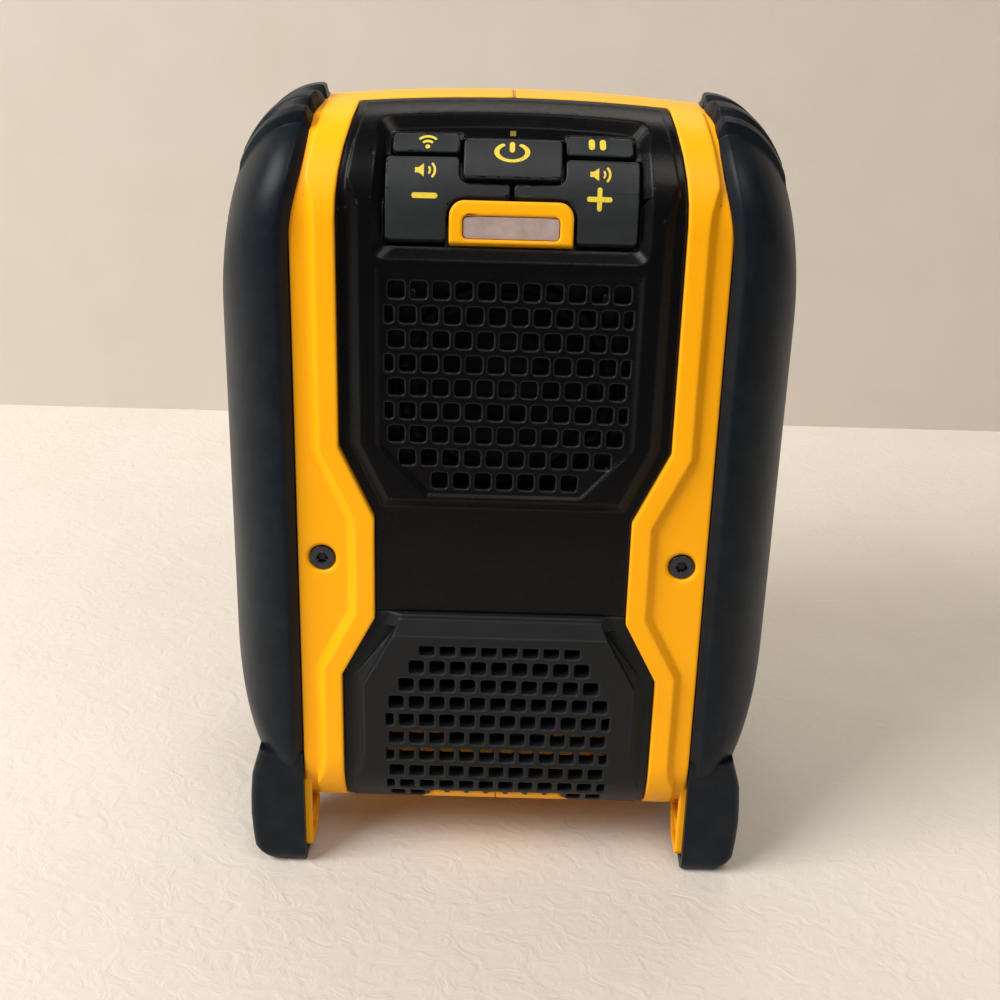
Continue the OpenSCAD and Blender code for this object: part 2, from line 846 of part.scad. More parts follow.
// Low rim and waist of the front, between two heights
module panel_skin(z0, z1, grow = 0) {
    intersection() {
        difference() {
            housing(0, rim_drop);
            housing(panel_t, rim_drop);
        }
        panel_space(grow);
        translate([-far / 2, -far, z0])
            cube([far, far + panel_back_y, z1 - z0]);
    }
}

// Raised block: an outline piece drawn in by the rim, with a bevelled edge
block_bevel = 2.6;
module block_space(k) {
    sunk = 0.5;
    spread = block_bevel / rim_drop;
    bevelled_piece(k, sunk * spread - rim_w, y_front + rim_drop + sunk, panel_back_y - rim_w, spread);
}

// Rounded slot of the grilles
module grille_hole() {
    square([hole_w, hole_h - 2 * hole_r], center = true);
    square([hole_w - 2 * hole_r, hole_h], center = true);
    for (x = [-1, 1])
        for (y = [-1, 1])
            translate([x * (hole_w / 2 - hole_r), y * (hole_h / 2 - hole_r)])
                circle(hole_r);
}
// One row of holes, clipped at the edges of the field, with only the lower part kept where the field ends
module grille_row(n, keep = hole_h) {
    intersection() {
        for (k = [0 : n - 1])
            translate([(k - (n - 1) / 2) * col_pitch, 0])
                grille_hole();
        translate([-field_half_w, -hole_h / 2 - eps])
            square([2 * field_half_w, keep + 2 * eps]);
    }
}

upper_rows = [11, 12, 11, 12, 11, 12, 11, 10, 7];
lower_rows = [8, 9, 10, 11, 12, 11, 12, 11, 12, 11];
field_chamfer = 13;
field_edge = 1.2;
field_side = 0.8;
field_top = 2;
first_row_keep = 0.72 * hole_h;
upper_field_z1 = upper_row_z + hole_h / 2 + field_edge;
upper_field_z0 = upper_row_z - (len(upper_rows) - 1) * row_pitch - hole_h / 2 - field_edge;

// Upper perforated field in X and Z
module upper_field(share = 0) {
    x = field_half_w + field_edge + field_side * share;
    z1 = upper_field_z1 + field_top * share;
    z0 = upper_field_z0 - field_side * share;
    polygon([[-x, z1], [x, z1], [x, upper_field_z0 + field_chamfer], [x - field_chamfer + 1, z0],
             [-x + field_chamfer - 1, z0], [-x, upper_field_z0 + field_chamfer]]);
}
// Its sunk space, widening outwards
module field_space() {
    lead = 3;
    hull() {
        front_prism(y_front + field_sink - eps, y_front + field_sink)
            upper_field();
        front_prism(y_front - lead - eps, y_front - lead)
            upper_field(1 + lead / field_sink);
    }
}

// Frame of the key plane: X along the keys, Y up the plane, Z outwards
module on_keys() {
    translate([0, y_front, recess_z])
        rotate([90 - key_tilt, 0, 0])
            children();
}
module key_prism(z0) {
    on_keys()
        translate([0, 0, z0])
            linear_extrude(40)
                children();
}
module round_corners(r) {
    offset(r = r, $fn = 24)
        offset(delta = -r)
            children();
}
module key_rect(u0, u1, v0, v1) {
    translate([u0, v0])
        square([u1 - u0, v1 - v0]);
}

// Control recess: a tray along the front and its upper rounding, as rings between a deep and a high line
tray_deep = recess_depth + 1;
tray_high = -5;
tray_lip = 2.2;
tray_corner = [[0, 3], [0.4, 1.4], [1.4, 0.4], [3, 0]];
function tray_front(d, lift) = [y_front + d, recess_z + tray_lip * d / recess_depth + lift];
function tray_round(d, a) = [roof_y, housing_h - front_top_r] + (front_top_r - d) * [-cos(a), sin(a)];
function tray_ring(deep, high, tuck) =
    let (
        w = volume_half_w + aperture_clear + 0.15 - tuck - drawn(deep[1]) / 2,
        w0 = w + recess_slope * (1 - tray_deep / recess_depth),
        w1 = w + recess_slope * (1 - tray_high / recess_depth),
        z0 = deep[1] - w * w / (2 * crown_r),
        z1 = high[1] - w * w / (2 * crown_r)
    )
    [[-w0, deep[0], z0], [w0, deep[0], z0], [w1, high[0], z1], [-w1, high[0], z1]];
function tray_end(d, back) = recess_end - (tray_lip * d / recess_depth + back) / front_top_r * 180 / PI;
module recess_tray() {
    rings = concat(
        [for (c = tray_corner) tray_ring(tray_front(tray_deep, c[0]), tray_front(tray_high, c[0]), c[1])],
        [for (a = [0 : 8 : recess_end - 20]) tray_ring(tray_round(tray_deep, a), tray_round(tray_high, a), 0)],
        [for (k = [len(tray_corner) - 1 : -1 : 0])
            let (c = tray_corner[k], a = tray_end(tray_deep, c[0]), b = tray_end(tray_high, c[0]))
                tray_ring(tray_round(tray_deep, a), tray_round(tray_high, b), c[1])]
    );
    first = rings[0];
    last = rings[len(rings) - 1];
    loft(rings, (first[0] + first[1] + first[2] + first[3]) / 4, (last[0] + last[1] + last[2] + last[3]) / 4);
}
module power_outline() {
    round_corners(1.2)
        key_rect(-power_half_w, power_half_w, power_v0, power_v1);
}
module bezel_outline() {
    x = bezel_half_w;
    v0 = volume_v0 - 0.6;
    intersection() {
        round_corners(3.4)
            key_rect(-x, x, v0 - 9, bezel_v1);
        key_rect(-x - 1, x + 1, v0, bezel_v1 + 1);
    }
}
module lens_outline() {
    x = bezel_half_w - bezel_frame;
    round_corners(1)
        key_rect(-x, x, volume_v0 + 0.4, bezel_v1 - bezel_frame);
}
module volume_outline() {
    round_corners(1)
        difference() {
            key_rect(key_gap / 2, volume_half_w, volume_v0, volume_v1);
            offset(delta = key_gap)
                power_outline();
            offset(delta = key_gap - 0.2)
                bezel_outline();
        }
}
module mode_outline() {
    round_corners(1)
        key_rect(power_half_w + key_gap, mode_half_w, volume_v1 + key_gap, mode_v1);
}
aperture_clear = 0.45;
module aperture_outline() {
    c = aperture_clear;
    key_rect(-volume_half_w - c, volume_half_w + c, volume_v0 - 0.6 - c, volume_v1 + c);
    key_rect(-mode_half_w - c, mode_half_w + c, volume_v1, power_v1 + c);
    for (side = [0, 1])
        mirror([side, 0])
            key_rect(power_half_w + key_gap - c, mode_half_w + c, volume_v1, mode_v1 + c);
}

post_d = 5;
post_us = [-volume_half_w - post_d / 2 - 1.8, volume_half_w + post_d / 2 + 1.8];
post_vs = [6, mode_v1 - 0.5];
board_margin = 3;
module at_posts() {
    for (u = post_us)
        for (v = post_vs)
            translate([u, v, 0])
                children();
}

// Upper front: rim and waist, raised block with the key recess, and the upper grille
module front_panel() {
    color(black)
        difference() {
            union() {
                panel_skin(ledge_z + gap, far);
                intersection() {
                    difference() {
                        housing();
                        housing(panel_t, rim_drop);
                    }
                    block_space(0);
                    translate([-far / 2, -far, 0])
                        cube([far, far + panel_back_y - rim_w, far]);
                }
                intersection() {
                    on_keys()
                        at_posts()
                            translate([0, 0, board_z])
                                cylinder(d = post_d, h = 20);
                    housing(1, rim_drop);
                }
                for (side = [-1, 1])
                    panel_ear(side);
            }
            intersection() {
                recess_tray();
                difference() {
                    housing(-9);
                    housing(recess_depth);
                }
            }
            key_prism(-20)
                aperture_outline();
            on_keys()
                at_posts()
                    translate([0, 0, board_z - eps])
                        cylinder(d = panel_screw_d + 0.2, h = panel_screw_l);
            field_space();
            for (k = [0 : len(upper_rows) - 1])
                translate([0, 0, upper_row_z - k * row_pitch])
                    front_prism(y_front - 9, panel_in_y + 1)
                        grille_row(upper_rows[k]);
            for (side = [-1, 1])
                translate([side * cheek_screw_x, y_front + cheek_drop + wall - 1, cheek_screw_z])
                    rotate([-90, 0, 0])
                        cylinder(d = screw_d + 0.2, h = cheek_screw_l);
        }
}

// Ear of the front panel behind a cheek, with the screw boss
ear_lap = 5;
ear_top_z = cheek_screw_z + boss_d + gap;
module panel_ear(side) {
    ear_y = y_front + cheek_drop + wall + gap;
    x0 = waist_w / 2 - ear_lap;
    x1 = cheek_screw_x + boss_d / 2 - 1.4;
    mirror([side < 0 ? 1 : 0, 0, 0]) {
        translate([x0, ear_y, cheek_screw_z - boss_d])
            cube([x1 - x0, 2, 2 * boss_d]);
        translate([x0, panel_in_y - 1, cheek_screw_z - boss_d])
            cube([4, ear_y - panel_in_y + 2, 2 * boss_d]);
        translate([cheek_screw_x, ear_y, cheek_screw_z])
            rotate([-90, 0, 0])
                cylinder(d = boss_d - 3, h = cheek_screw_l - 3);
    }
}

// Lower front: lean and lower rounding of the block, in Y and Z
module lower_profile(inset = 0) {
    c = [y_front + front_low_r, foot_h + front_low_r];
    foot = c + (front_low_r - inset) * [-cos(lower_lean), -sin(lower_lean)];
    head = foot + lean_l * [-sin(lower_lean), cos(lower_lean)];
    polygon([c, foot, head, [y_front + rim_drop + inset, ledge_z - inset], [y_front + 9, ledge_z - inset]]);
    side_profile(inset);
}
module lower_block(inset = 0) {
    rotate([90, 0, 90])
        linear_extrude(panel_w, center = true)
            lower_profile(inset);
}
// Notch in the rear edge of the lower grille
notch_half_w = 20;
notch_corner = 3;
notch_reach = 5;
notch_y = y_front + notch_reach;
module notch_outline(inset = 0) {
    x = notch_half_w - inset;
    y = notch_y + inset;
    c = notch_corner;
    polygon([[-x, far], [-x, y + c], [c - x, y], [x - c, y], [x, y + c], [x, far]]);
}
// Place of a row along the lower front, as Y, Z and tilt
function lower_row(k) =
    let (
        s = (ledge_z - lower_row_drop - lean_foot_z) / cos(lower_lean) - k * lower_pitch,
        c = [y_front + front_low_r, foot_h + front_low_r],
        foot = c + front_low_r * [-cos(lower_lean), -sin(lower_lean)],
        a = lower_lean - min(0, s) / front_low_r * 180 / PI
    )
    s > 0 ? [foot[0] - s * sin(lower_lean), foot[1] + s * cos(lower_lean), lower_lean]
          : [c[0] - front_low_r * cos(a), c[1] - front_low_r * sin(a), a];

module lower_grille() {
    color(charcoal)
        difference() {
            union() {
                panel_skin(0, ledge_z);
                intersection() {
                    difference() {
                        lower_block();
                        lower_block(panel_t + rim_drop);
                    }
                    intersection() {
                        translate([-far / 2, -far / 2, 0])
                            cube([far, far, ledge_z]);
                        union() {
                            front_prism(y_front - 20, y_front + 1)
                                offset(delta = -rim_w - block_bevel)
                                    outline_piece(3);
                            block_space(3);
                        }
                    }
                }
            }
            translate([-far / 2, panel_back_y - gap, 0])
                cube(far);
            linear_extrude(foot_h + front_low_r / 2)
                notch_outline();
            for (k = [0 : len(lower_rows) - 1])
                let (p = lower_row(k))
                    translate([0, p[0], p[1]])
                        rotate([90 + p[2], 0, 0])
                            linear_extrude(16, center = true)
                                grille_row(lower_rows[k], k == 0 ? first_row_keep : hole_h);
        }
}

// A key: its outline raised to the curved face, a stem to the contact and a retaining tab
module key_body(inset) {
    intersection() {
        housing(inset);
        key_prism(key_foot_z)
            children();
    }
}
module key_stem(u, v) {
    on_keys()
        translate([u, v, stem_foot_z])
            cylinder(d = stem_d, h = key_foot_z - stem_foot_z + 1);
}
// Lip of a key that lies close under the panel and keeps the key in
module key_tab(u0, u1, v0, v1) {
    intersection() {
        difference() {
            housing(panel_t + 0.4, rim_drop);
            housing(panel_t + 1.3, rim_drop);
        }
        key_prism(key_foot_z)
            key_rect(u0, u1, v0, v1);
    }
}
tab_reach = aperture_clear + 1.2;
volume_stem = [(power_half_w + volume_half_w) / 2, (bezel_v1 + volume_v1) / 2 - 1];
mode_stem = [(power_half_w + key_gap + mode_half_w) / 2, (volume_v1 + key_gap + mode_v1) / 2];
power_stem = [0, (power_v0 + power_v1) / 2];
key_stems = [[-mode_stem[0], mode_stem[1]], power_stem, mode_stem, [-volume_stem[0], volume_stem[1]],
             volume_stem];

module volume_key() {
    color(black) {
        key_body(key_floor_inset)
            volume_outline();
        key_stem(volume_stem[0], volume_stem[1]);
        key_tab(volume_half_w - 2, volume_half_w + tab_reach, post_vs[0] + post_d, volume_v1 - 3);
    }
}
module mode_key() {
    color(black) {
        key_body(key_floor_inset)
            mode_outline();
        key_stem(mode_stem[0], mode_stem[1]);
        key_tab(mode_half_w - 2, mode_half_w + tab_reach, volume_v1 + key_gap + 0.8, mode_v1 - 0.8);
    }
}
module volume_up_button() {
    volume_key();
}
module volume_down_button() {
    mirror([1, 0, 0])
        volume_key();
}
module pause_button() {
    mode_key();
}
module pairing_button() {
    mirror([1, 0, 0])
        mode_key();
}
module power_button() {
    color(black) {
        key_body(key_floor_inset - power_rise)
            power_outline();
        key_stem(power_stem[0], power_stem[1]);
        key_tab(-power_half_w / 2, power_half_w / 2, power_v1 - 2, power_v1 + tab_reach);
    }
}

// Yellow arch around the indicator window, standing on the control board
module indicator_bezel() {
    color(yellow)
        difference() {
            intersection() {
                housing(key_floor_inset - 0.3);
                key_prism(board_z + gap)
                    bezel_outline();
            }
            key_prism(board_z)
                offset(delta = gap / 2)
                    lens_outline();
        }
}
module indicator_lens() {
    color("#a89592")
        intersection() {
            housing(key_floor_inset + 0.1);
            key_prism(board_z + 2)
                lens_outline();
        }
}

// Control board behind the keys
module control_board() {
    color("#1d5a34")
        on_keys()
            difference() {
                translate([post_us[0] - board_margin, post_vs[0] - board_margin, board_z - board_t])
                    cube([post_us[1] - post_us[0] + 2 * board_margin,
                          post_vs[1] - post_vs[0] + 2 * board_margin, board_t - eps / 2]);
                at_posts()
                    translate([0, 0, board_z - board_t - eps])
                        cylinder(d = panel_screw_d + 0.6, h = board_t + 1);
            }
}
module contact_pads() {
    color("#c9a24a")
        on_keys()
            for (p = key_stems)
                translate([p[0], p[1], board_z])
                    cylinder(d = stem_d + 1, h = pad_t);
}
module status_leds() {
    led_v = (volume_v0 + bezel_v1 - bezel_frame) / 2 + 0.2;
    color("white")
        on_keys()
            for (u = [-6, 0, 6])
                translate([u - 1, led_v - 0.6, board_z])
                    cube([2, 1.2, 0.9]);
}
module board_screws() {
    color("silver")
        on_keys()
            at_posts()
                translate([0, 0, board_z - board_t - pan_h(panel_screw_d)])
                    machine_screw(panel_screw_l, panel_screw_d, pan_d(panel_screw_d), pan_h(panel_screw_d));
}

// Frame of the driver: Z forwards from the rear face of the baffle
module on_driver() {
    translate([0, driver_y, driver_z])
        rotate([90, 0, 0])
            children();
}
module on_flange_screws() {
    for (a = [45 : 90 : 315])
        rotate(a)
            translate([driver_d / 2 + 2.6, 0, 0])
                children();
}

module speaker_baffle() {
    color(black)
        difference() {
            translate([-cavity_half_w + gap, baffle_y, baffle_z0])
                cube([2 * (cavity_half_w - gap), baffle_t, baffle_z1 - baffle_z0]);
            for (side = [0, 1])
                mirror([side, 0, 0])
                    translate([waist_w / 2 - ear_lap - gap, baffle_y - 1, 0])
                        cube([far, baffle_t + 2, ear_top_z]);
            on_driver() {
                translate([0, 0, -1])
                    cylinder(r = driver_d / 2 - 2.5, h = baffle_t + 2);
                on_flange_screws()
                    translate([0, 0, -1])
                        cylinder(d = flange_screw_d + 0.2, h = baffle_t + 2);
            }
        }
}
module speaker_gasket() {
    color("#303030")
        on_driver()
            translate([0, 0, -gasket_t])
                difference() {
                    cylinder(r = driver_d / 2, h = gasket_t);
                    translate([0, 0, -1])
                        cylinder(r = driver_d / 2 - 2.5, h = gasket_t + 2);
                }
}

// Pressed basket: flange with four lugs, sloping spokes and the seat of the motor
module speaker_frame() {
    z_flange = -gasket_t - flange_t;
    z_seat = -basket_depth;
    r_top = driver_d / 2 - 3.5;
    r_seat = magnet_d / 2 - 3;
    color("#2b2b2e")
        on_driver()
            difference() {
                union() {
                    translate([0, 0, z_flange]) {
                        cylinder(r = driver_d / 2, h = flange_t);
                        on_flange_screws()
                            cylinder(r = 4, h = flange_t);
                    }
                    translate([0, 0, z_seat])
                        cylinder(r1 = r_seat + 1, r2 = r_top + 1, h = z_flange - z_seat + eps);
                }
                translate([0, 0, z_seat + 1.2])
                    cylinder(r1 = r_seat - 0.2, r2 = r_top, h = z_flange - z_seat - 1.2 + eps);
                translate([0, 0, z_flange - eps])
                    cylinder(r = r_top, h = flange_t + 1);
                translate([0, 0, z_seat - 1])
                    cylinder(r = coil_d / 2 + 2, h = 4);
                on_flange_screws()
                    translate([0, 0, z_flange - 1])
                        cylinder(d = flange_screw_d + 0.2, h = flange_t + 2);
                for (a = [0 : 90 : 270])
                    rotate(a)
                        translate([r_seat - 3, -9, z_seat + 4])
                            cube([20, 18, 7.5]);
            }
}

// Half-roll surround between the cone and the flange
module cone_surround() {
    color("#1a1a1c")
        on_driver()
            translate([0, 0, -gasket_t])
                rotate_extrude() {
                    intersection() {
                        translate([roll_mid_r, 0])
                            difference() {
                                circle(roll_r);
                                circle(roll_r - 0.5);
                            }
                        translate([roll_mid_r - 5, 0])
                            square([10, 5]);
                    }
                    translate([roll_mid_r + roll_r - 0.5, 0])
                        square([driver_d / 2 - 2.8 - roll_mid_r - roll_r + 0.5, 0.5]);
                }
}
cone_rim_z = -gasket_t - 0.3;
cone_neck_z = -11;
neck_r = coil_d / 2;
module speaker_cone() {
    color("#232326")
        on_driver()
            rotate_extrude()
                polygon([[neck_r, cone_neck_z], [cone_r - 1, cone_rim_z - 0.6], [cone_r, cone_rim_z - 0.6],
                         [cone_r, cone_rim_z], [cone_r - 1.2, cone_rim_z], [neck_r, cone_neck_z + 0.9]]);
}
module dust_cap() {
    cap_r = neck_r + 3.4;
    cap_z = cone_neck_z + 0.9 + 3.4 * (cone_rim_z - cone_neck_z - 0.9) / (cone_r - 1.2 - neck_r) + 0.1;
    rise = 3.2;
    ball_r = (cap_r * cap_r + rise * rise) / (2 * rise);
    color("#2c2c30")
        on_driver()
            translate([0, 0, cap_z])
                intersection() {
                    difference() {
                        translate([0, 0, rise - ball_r])
                            sphere(ball_r);
                        translate([0, 0, rise - ball_r])
                            sphere(ball_r - 0.6);
                    }
                    cylinder(r = cap_r, h = rise + 1);
                }
}
module voice_coil() {
    z0 = -basket_depth - plate_t - 3;
    color("#b0703a")
        on_driver()
            translate([0, 0, z0])
                difference() {
                    cylinder(r = coil_d / 2 - 0.05, h = cone_neck_z + 0.8 - z0);
                    translate([0, 0, -1])
                        cylinder(r = coil_d / 2 - 0.05 - former_t, h = 40);
                }
}
// Corrugated spider that centres the coil
spider_z = -basket_depth + 3.4;
spider_out_r = magnet_d / 2 - 2.4;
module spider() {
    waves = 3;
    r0 = coil_d / 2 + 0.2;
    step = (spider_out_r - r0) / (2 * waves);
    color("#b98d4e")
        on_driver()
            translate([0, 0, spider_z])
                rotate_extrude()
                    for (k = [0 : 2 * waves - 1])
                        let (x = r0 + k * step, a = k % 2 == 0 ? 0 : 0.7, b = k % 2 == 0 ? 0.7 : 0)
                            polygon([[x, a], [x + step, b], [x + step, b + 0.4], [x, a + 0.4]]);
}
module top_plate() {
    color("#8c9096")
        on_driver()
            translate([0, 0, -basket_depth - plate_t])
                difference() {
                    cylinder(r = magnet_d / 2 - 2, h = plate_t);
                    translate([0, 0, -1])
                        cylinder(r = coil_d / 2 + coil_gap, h = plate_t + 2);
                }
}
module speaker_magnet() {
    color("#3a3a3c")
        on_driver()
            translate([0, 0, -basket_depth - plate_t - magnet_t])
                difference() {
                    cylinder(d = magnet_d, h = magnet_t);
                    translate([0, 0, -1])
                        cylinder(r = coil_d / 2 + 3, h = magnet_t + 2);
                }
}
module pole_yoke() {
    z0 = -basket_depth - plate_t - magnet_t;
    color("#8c9096")
        on_driver() {
            translate([0, 0, z0 - plate_t])
                cylinder(r = magnet_d / 2 - 2, h = plate_t);
            translate([0, 0, z0 - eps])
                cylinder(r = pole_r, h = magnet_t + plate_t + eps);
        }
}
module speaker_screws() {
    color("silver")
        on_driver()
            on_flange_screws()
                translate([0, 0, -gasket_t - flange_t - pan_h(flange_screw_d)])
                    machine_screw(flange_screw_l, flange_screw_d, pan_d(flange_screw_d), pan_h(flange_screw_d));
}

// Reflex port with a flared mouth in the bulkhead
module bass_port() {
    od = port_bore + 2 * port_t;
    color(black)
        translate([0, bulkhead_y - 2, port_z])
            rotate([-90, 0, 0])
                difference() {
                    union() {
                        cylinder(d = od, h = port_l);
                        cylinder(d = od + 2 * port_flange, h = 2 - eps);
                    }
                    translate([0, 0, -1])
                        cylinder(d = port_bore, h = port_l + 2);
                    translate([0, 0, -eps])
                        cylinder(d1 = port_bore + 4, d2 = port_bore, h = 3);
                }
}

// Rear panel with the open-topped battery bay, its rails, the socket recess and the board posts
module rear_panel() {
    color(black)
        difference() {
            union() {
                intersection() {
                    rear_space();
                    difference() {
                        housing(rear_inset);
                        housing(rear_inset + rear_t);
                    }
                }
                intersection() {
                    translate([-bay_w / 2 - bay_wall, bay_back_y - bay_wall, bay_z - bay_wall])
                        cube([bay_w + 2 * bay_wall, far, rear_z1 - bay_z + bay_wall]);
                    housing(rear_inset);
                }
                at_board_screws()
                    translate([0, 0, board_t])
                        cylinder(d = board_post_d, h = board_post_l + 1);
                socket_box();
            }
            bay_space();
            at_board_screws()
                translate([0, 0, board_t - eps])
                    cylinder(d = board_screw_d + 0.2, h = board_post_l - 0.5);
            socket_recess();
            for (x = [-1, 1])
                for (z = rear_screw_zs)
                    translate([x * rear_screw_x, 0, z])
                        mirror([0, 1, 0])
                            screw_hole(-y_rear + rear_inset, 9, screw_d + 0.4);
        }
}

// Room of the battery bay around its two rails
module bay_space() {
    difference() {
        translate([-bay_w / 2, bay_back_y, bay_z])
            cube([bay_w, far, far]);
        for (x = [-1, 1])
            mirror([x < 0 ? 1 : 0, 0, 0]) {
                translate([rail_w / 2 - rail_lip - rail_t, bay_back_y - 1, bay_z - 1])
                    cube([rail_t, rail_rise + 1, rail_l + 1]);
                translate([rail_w / 2 - rail_lip - rail_t, bay_back_y + rail_rise - rail_t, bay_z - 1])
                    cube([rail_t + rail_lip, rail_t, rail_l + 1]);
            }
    }
}

// Box behind the sockets, and the recess with their bores
socket_face_y = y_rear - rear_inset - 3.4;
socket_wall = 2;
module socket_box() {
    translate([cover_x - cover_w / 2 - 2, socket_face_y - socket_wall, cover_z - cover_h / 2 - 2])
        cube([cover_w + 4, 4, cover_h + 4]);
}
module socket_recess() {
    translate([cover_x - cover_w / 2 - gap, socket_face_y, cover_z - cover_h / 2 - gap])
        cube([cover_w + 2 * gap, far, cover_h + 2 * gap]);
    for (s = [[jack_x, jack_bore + 4], [inlet_x, inlet_bore + 4]])
        translate([s[0], 0, cover_z])
            rotate([-90, 0, 0])
                cylinder(d = s[1] + 2 * gap, h = far);
}

// Sockets: barrels that stand through the recess wall, with a body in front of the board
module socket(x, bore, body) {
    barrel = bore + 4;
    y1 = socket_face_y + 0.4;
    translate([x, 0, cover_z])
        rotate([-90, 0, 0])
            difference() {
                union() {
                    translate([0, 0, y1 - 5])
                        cylinder(d = barrel, h = 5);
                    translate([-body / 2, -body / 2, y1 - 16])
                        cube([body, body, 13 - gap]);
                }
                translate([0, 0, y1 - 14])
                    cylinder(d = bore, h = 20);
            }
}
module aux_jack() {
    color("#202022")
        socket(jack_x, jack_bore, 9.5);
}
module power_inlet() {
    pin_d = 2;
    color("#202022") {
        socket(inlet_x, inlet_bore, 11);
        translate([inlet_x, socket_face_y - 14, cover_z])
            rotate([-90, 0, 0])
                cylinder(d = pin_d, h = 12);
    }
}

// Soft flap over the sockets, hinged along its lower edge
cover_y = socket_face_y + 0.4 + gap;
hinge_z = cover_z - cover_h / 2 + hinge_pin_r;
hinge_y = cover_y + hinge_pin_r;
module port_cover() {
    color("#1d1e20")
        difference() {
            union() {
                translate([cover_x - cover_w / 2, cover_y, hinge_z])
                    cube([cover_w, cover_t, cover_h - hinge_pin_r]);
                translate([cover_x - cover_w / 2, hinge_y, hinge_z])
                    rotate([0, 90, 0])
                        cylinder(r = hinge_pin_r, h = cover_w);
            }
            translate([cover_x - 5, cover_y + cover_t - 0.6, hinge_z + cover_h - hinge_pin_r - 2.2])
                cube([10, 2, 3]);
        }
}

// Terminal block at the foot of the bay, between the rails, and its blades
block_w = rail_w - 2 * (rail_lip + rail_t) - 1;
block_h = 16;
block_d = 9;
blade_xs = [-15, -5, 5, 15];
blade_t = 0.8;
blade_slot = 3.2;
blade_back = 1.5;
blade_floor = 3;
module terminal_block() {
    color("#2a2a2c")
        difference() {
            translate([-block_w / 2, bay_back_y, bay_z])
                cube([block_w, block_d, block_h]);
            for (x = blade_xs)
                translate([x - blade_slot / 2, bay_back_y + blade_back, bay_z + blade_floor])
                    cube([blade_slot, block_d, block_h]);
        }
}
module battery_terminals() {
    color("#c8b48a")
        for (x = blade_xs)
            translate([x - blade_t / 2, bay_back_y + blade_back, bay_z + blade_floor])
                cube([blade_t, block_d - blade_back - 1, block_h - blade_floor - 1]);
}

// Main board on the posts of the bay, with its larger parts and screws
module main_board() {
    color("#1d5a34")
        difference() {
            translate([-main_board_w / 2, board_y - board_t, main_board_z0])
                cube([main_board_w, board_t - eps / 2, main_board_h]);
            at_board_screws()
                cylinder(d = board_screw_d + 0.2, h = 9, center = true);
        }
}
module at_board_screws() {
    for (x = [-1, 1])
        for (z = [main_board_z0 + board_inset, main_board_z0 + main_board_h - board_inset])
            translate([x * (main_board_w / 2 - board_inset), board_y - board_t, z])
                rotate([-90, 0, 0])
                    children();
}
// Capacitors, and flat parts as X, height on the board, width, height and thickness
capacitor_xs = [-22, -10];
capacitor_rise = 18;
capacitor_d = 10;
capacitor_h = 12;
flat_parts = [[4, 12, 20, 16, 3], [6, 48, 14, 14, 5], [-25, 45, 18, 24, 2.2]];
module board_components() {
    color("#4a4d52")
        translate([0, board_y - board_t, main_board_z0])
            rotate([90, 0, 0]) {
                for (x = capacitor_xs)
                    translate([x, capacitor_rise, 0])
                        cylinder(d = capacitor_d, h = capacitor_h);
                for (p = flat_parts)
                    translate([p[0], p[1], 0])
                        cube([p[2], p[3], p[4]]);
            }
}
module main_board_screws() {
    color("silver")
        at_board_screws()
            translate([0, 0, -pan_h(board_screw_d)])
                machine_screw(board_screw_l, board_screw_d, pan_d(board_screw_d), pan_h(board_screw_d));
}

module cheek_screws() {
    color("#1b1b1d")
        for (x = [-1, 1])
            translate([x * cheek_screw_x, y_front + cheek_drop + 0.2, cheek_screw_z])
                rotate([-90, 0, 0])
                    machine_screw(cheek_screw_l, screw_d, head_d, head_h);
}
module rear_screws() {
    color("#1b1b1d")
        for (x = [-1, 1])
            for (z = rear_screw_zs)
                translate([x * rear_screw_x, y_rear - rear_inset - 0.2, z])
                    rotate([90, 0, 0])
                        machine_screw(rear_screw_l, screw_d, head_d, head_h);
}

module right_side_shell() {
    side_shell();
}
module left_side_shell() {
    mirror([1, 0, 0])
        side_shell();
}
module right_bumper() {
    side_bumper();
}
module left_bumper() {
    mirror([1, 0, 0])
        side_bumper();
}

left_side_shell();
right_side_shell();
left_bumper();
right_bumper();
front_panel();
lower_grille();
rear_panel();
pairing_button();
power_button();
pause_button();
volume_down_button();
volume_up_button();
indicator_bezel();
indicator_lens();
control_board();
contact_pads();
status_leds();
board_screws();
speaker_baffle();
speaker_gasket();
speaker_frame();
cone_surround();
speaker_cone();
dust_cap();
voice_coil();
spider();
top_plate();
speaker_magnet();
pole_yoke();
speaker_screws();
bass_port();
terminal_block();
battery_terminals();
main_board();
board_components();
main_board_screws();
aux_jack();
power_inlet();
port_cover();
cheek_screws();
rear_screws();
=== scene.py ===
# %% [markdown]
# # A wireless jobsite speaker
# The speaker stands about 205 mm tall. Two yellow side shells meet at a seam over the roof, soft bumpers
# wrap the sides and run down into feet, and a black waisted front carries a key field and two grilles.
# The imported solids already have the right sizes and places, so this lesson loads them as a fixed frame and
# dresses them: real finishes, softened edges, the soft bumpers as smooth skins, and the printed key signs.

# %% Load the speaker
import math

import bmesh
import bpy
import numpy as np
from mathutils import Matrix, Vector
from mathutils.bvhtree import BVHTree


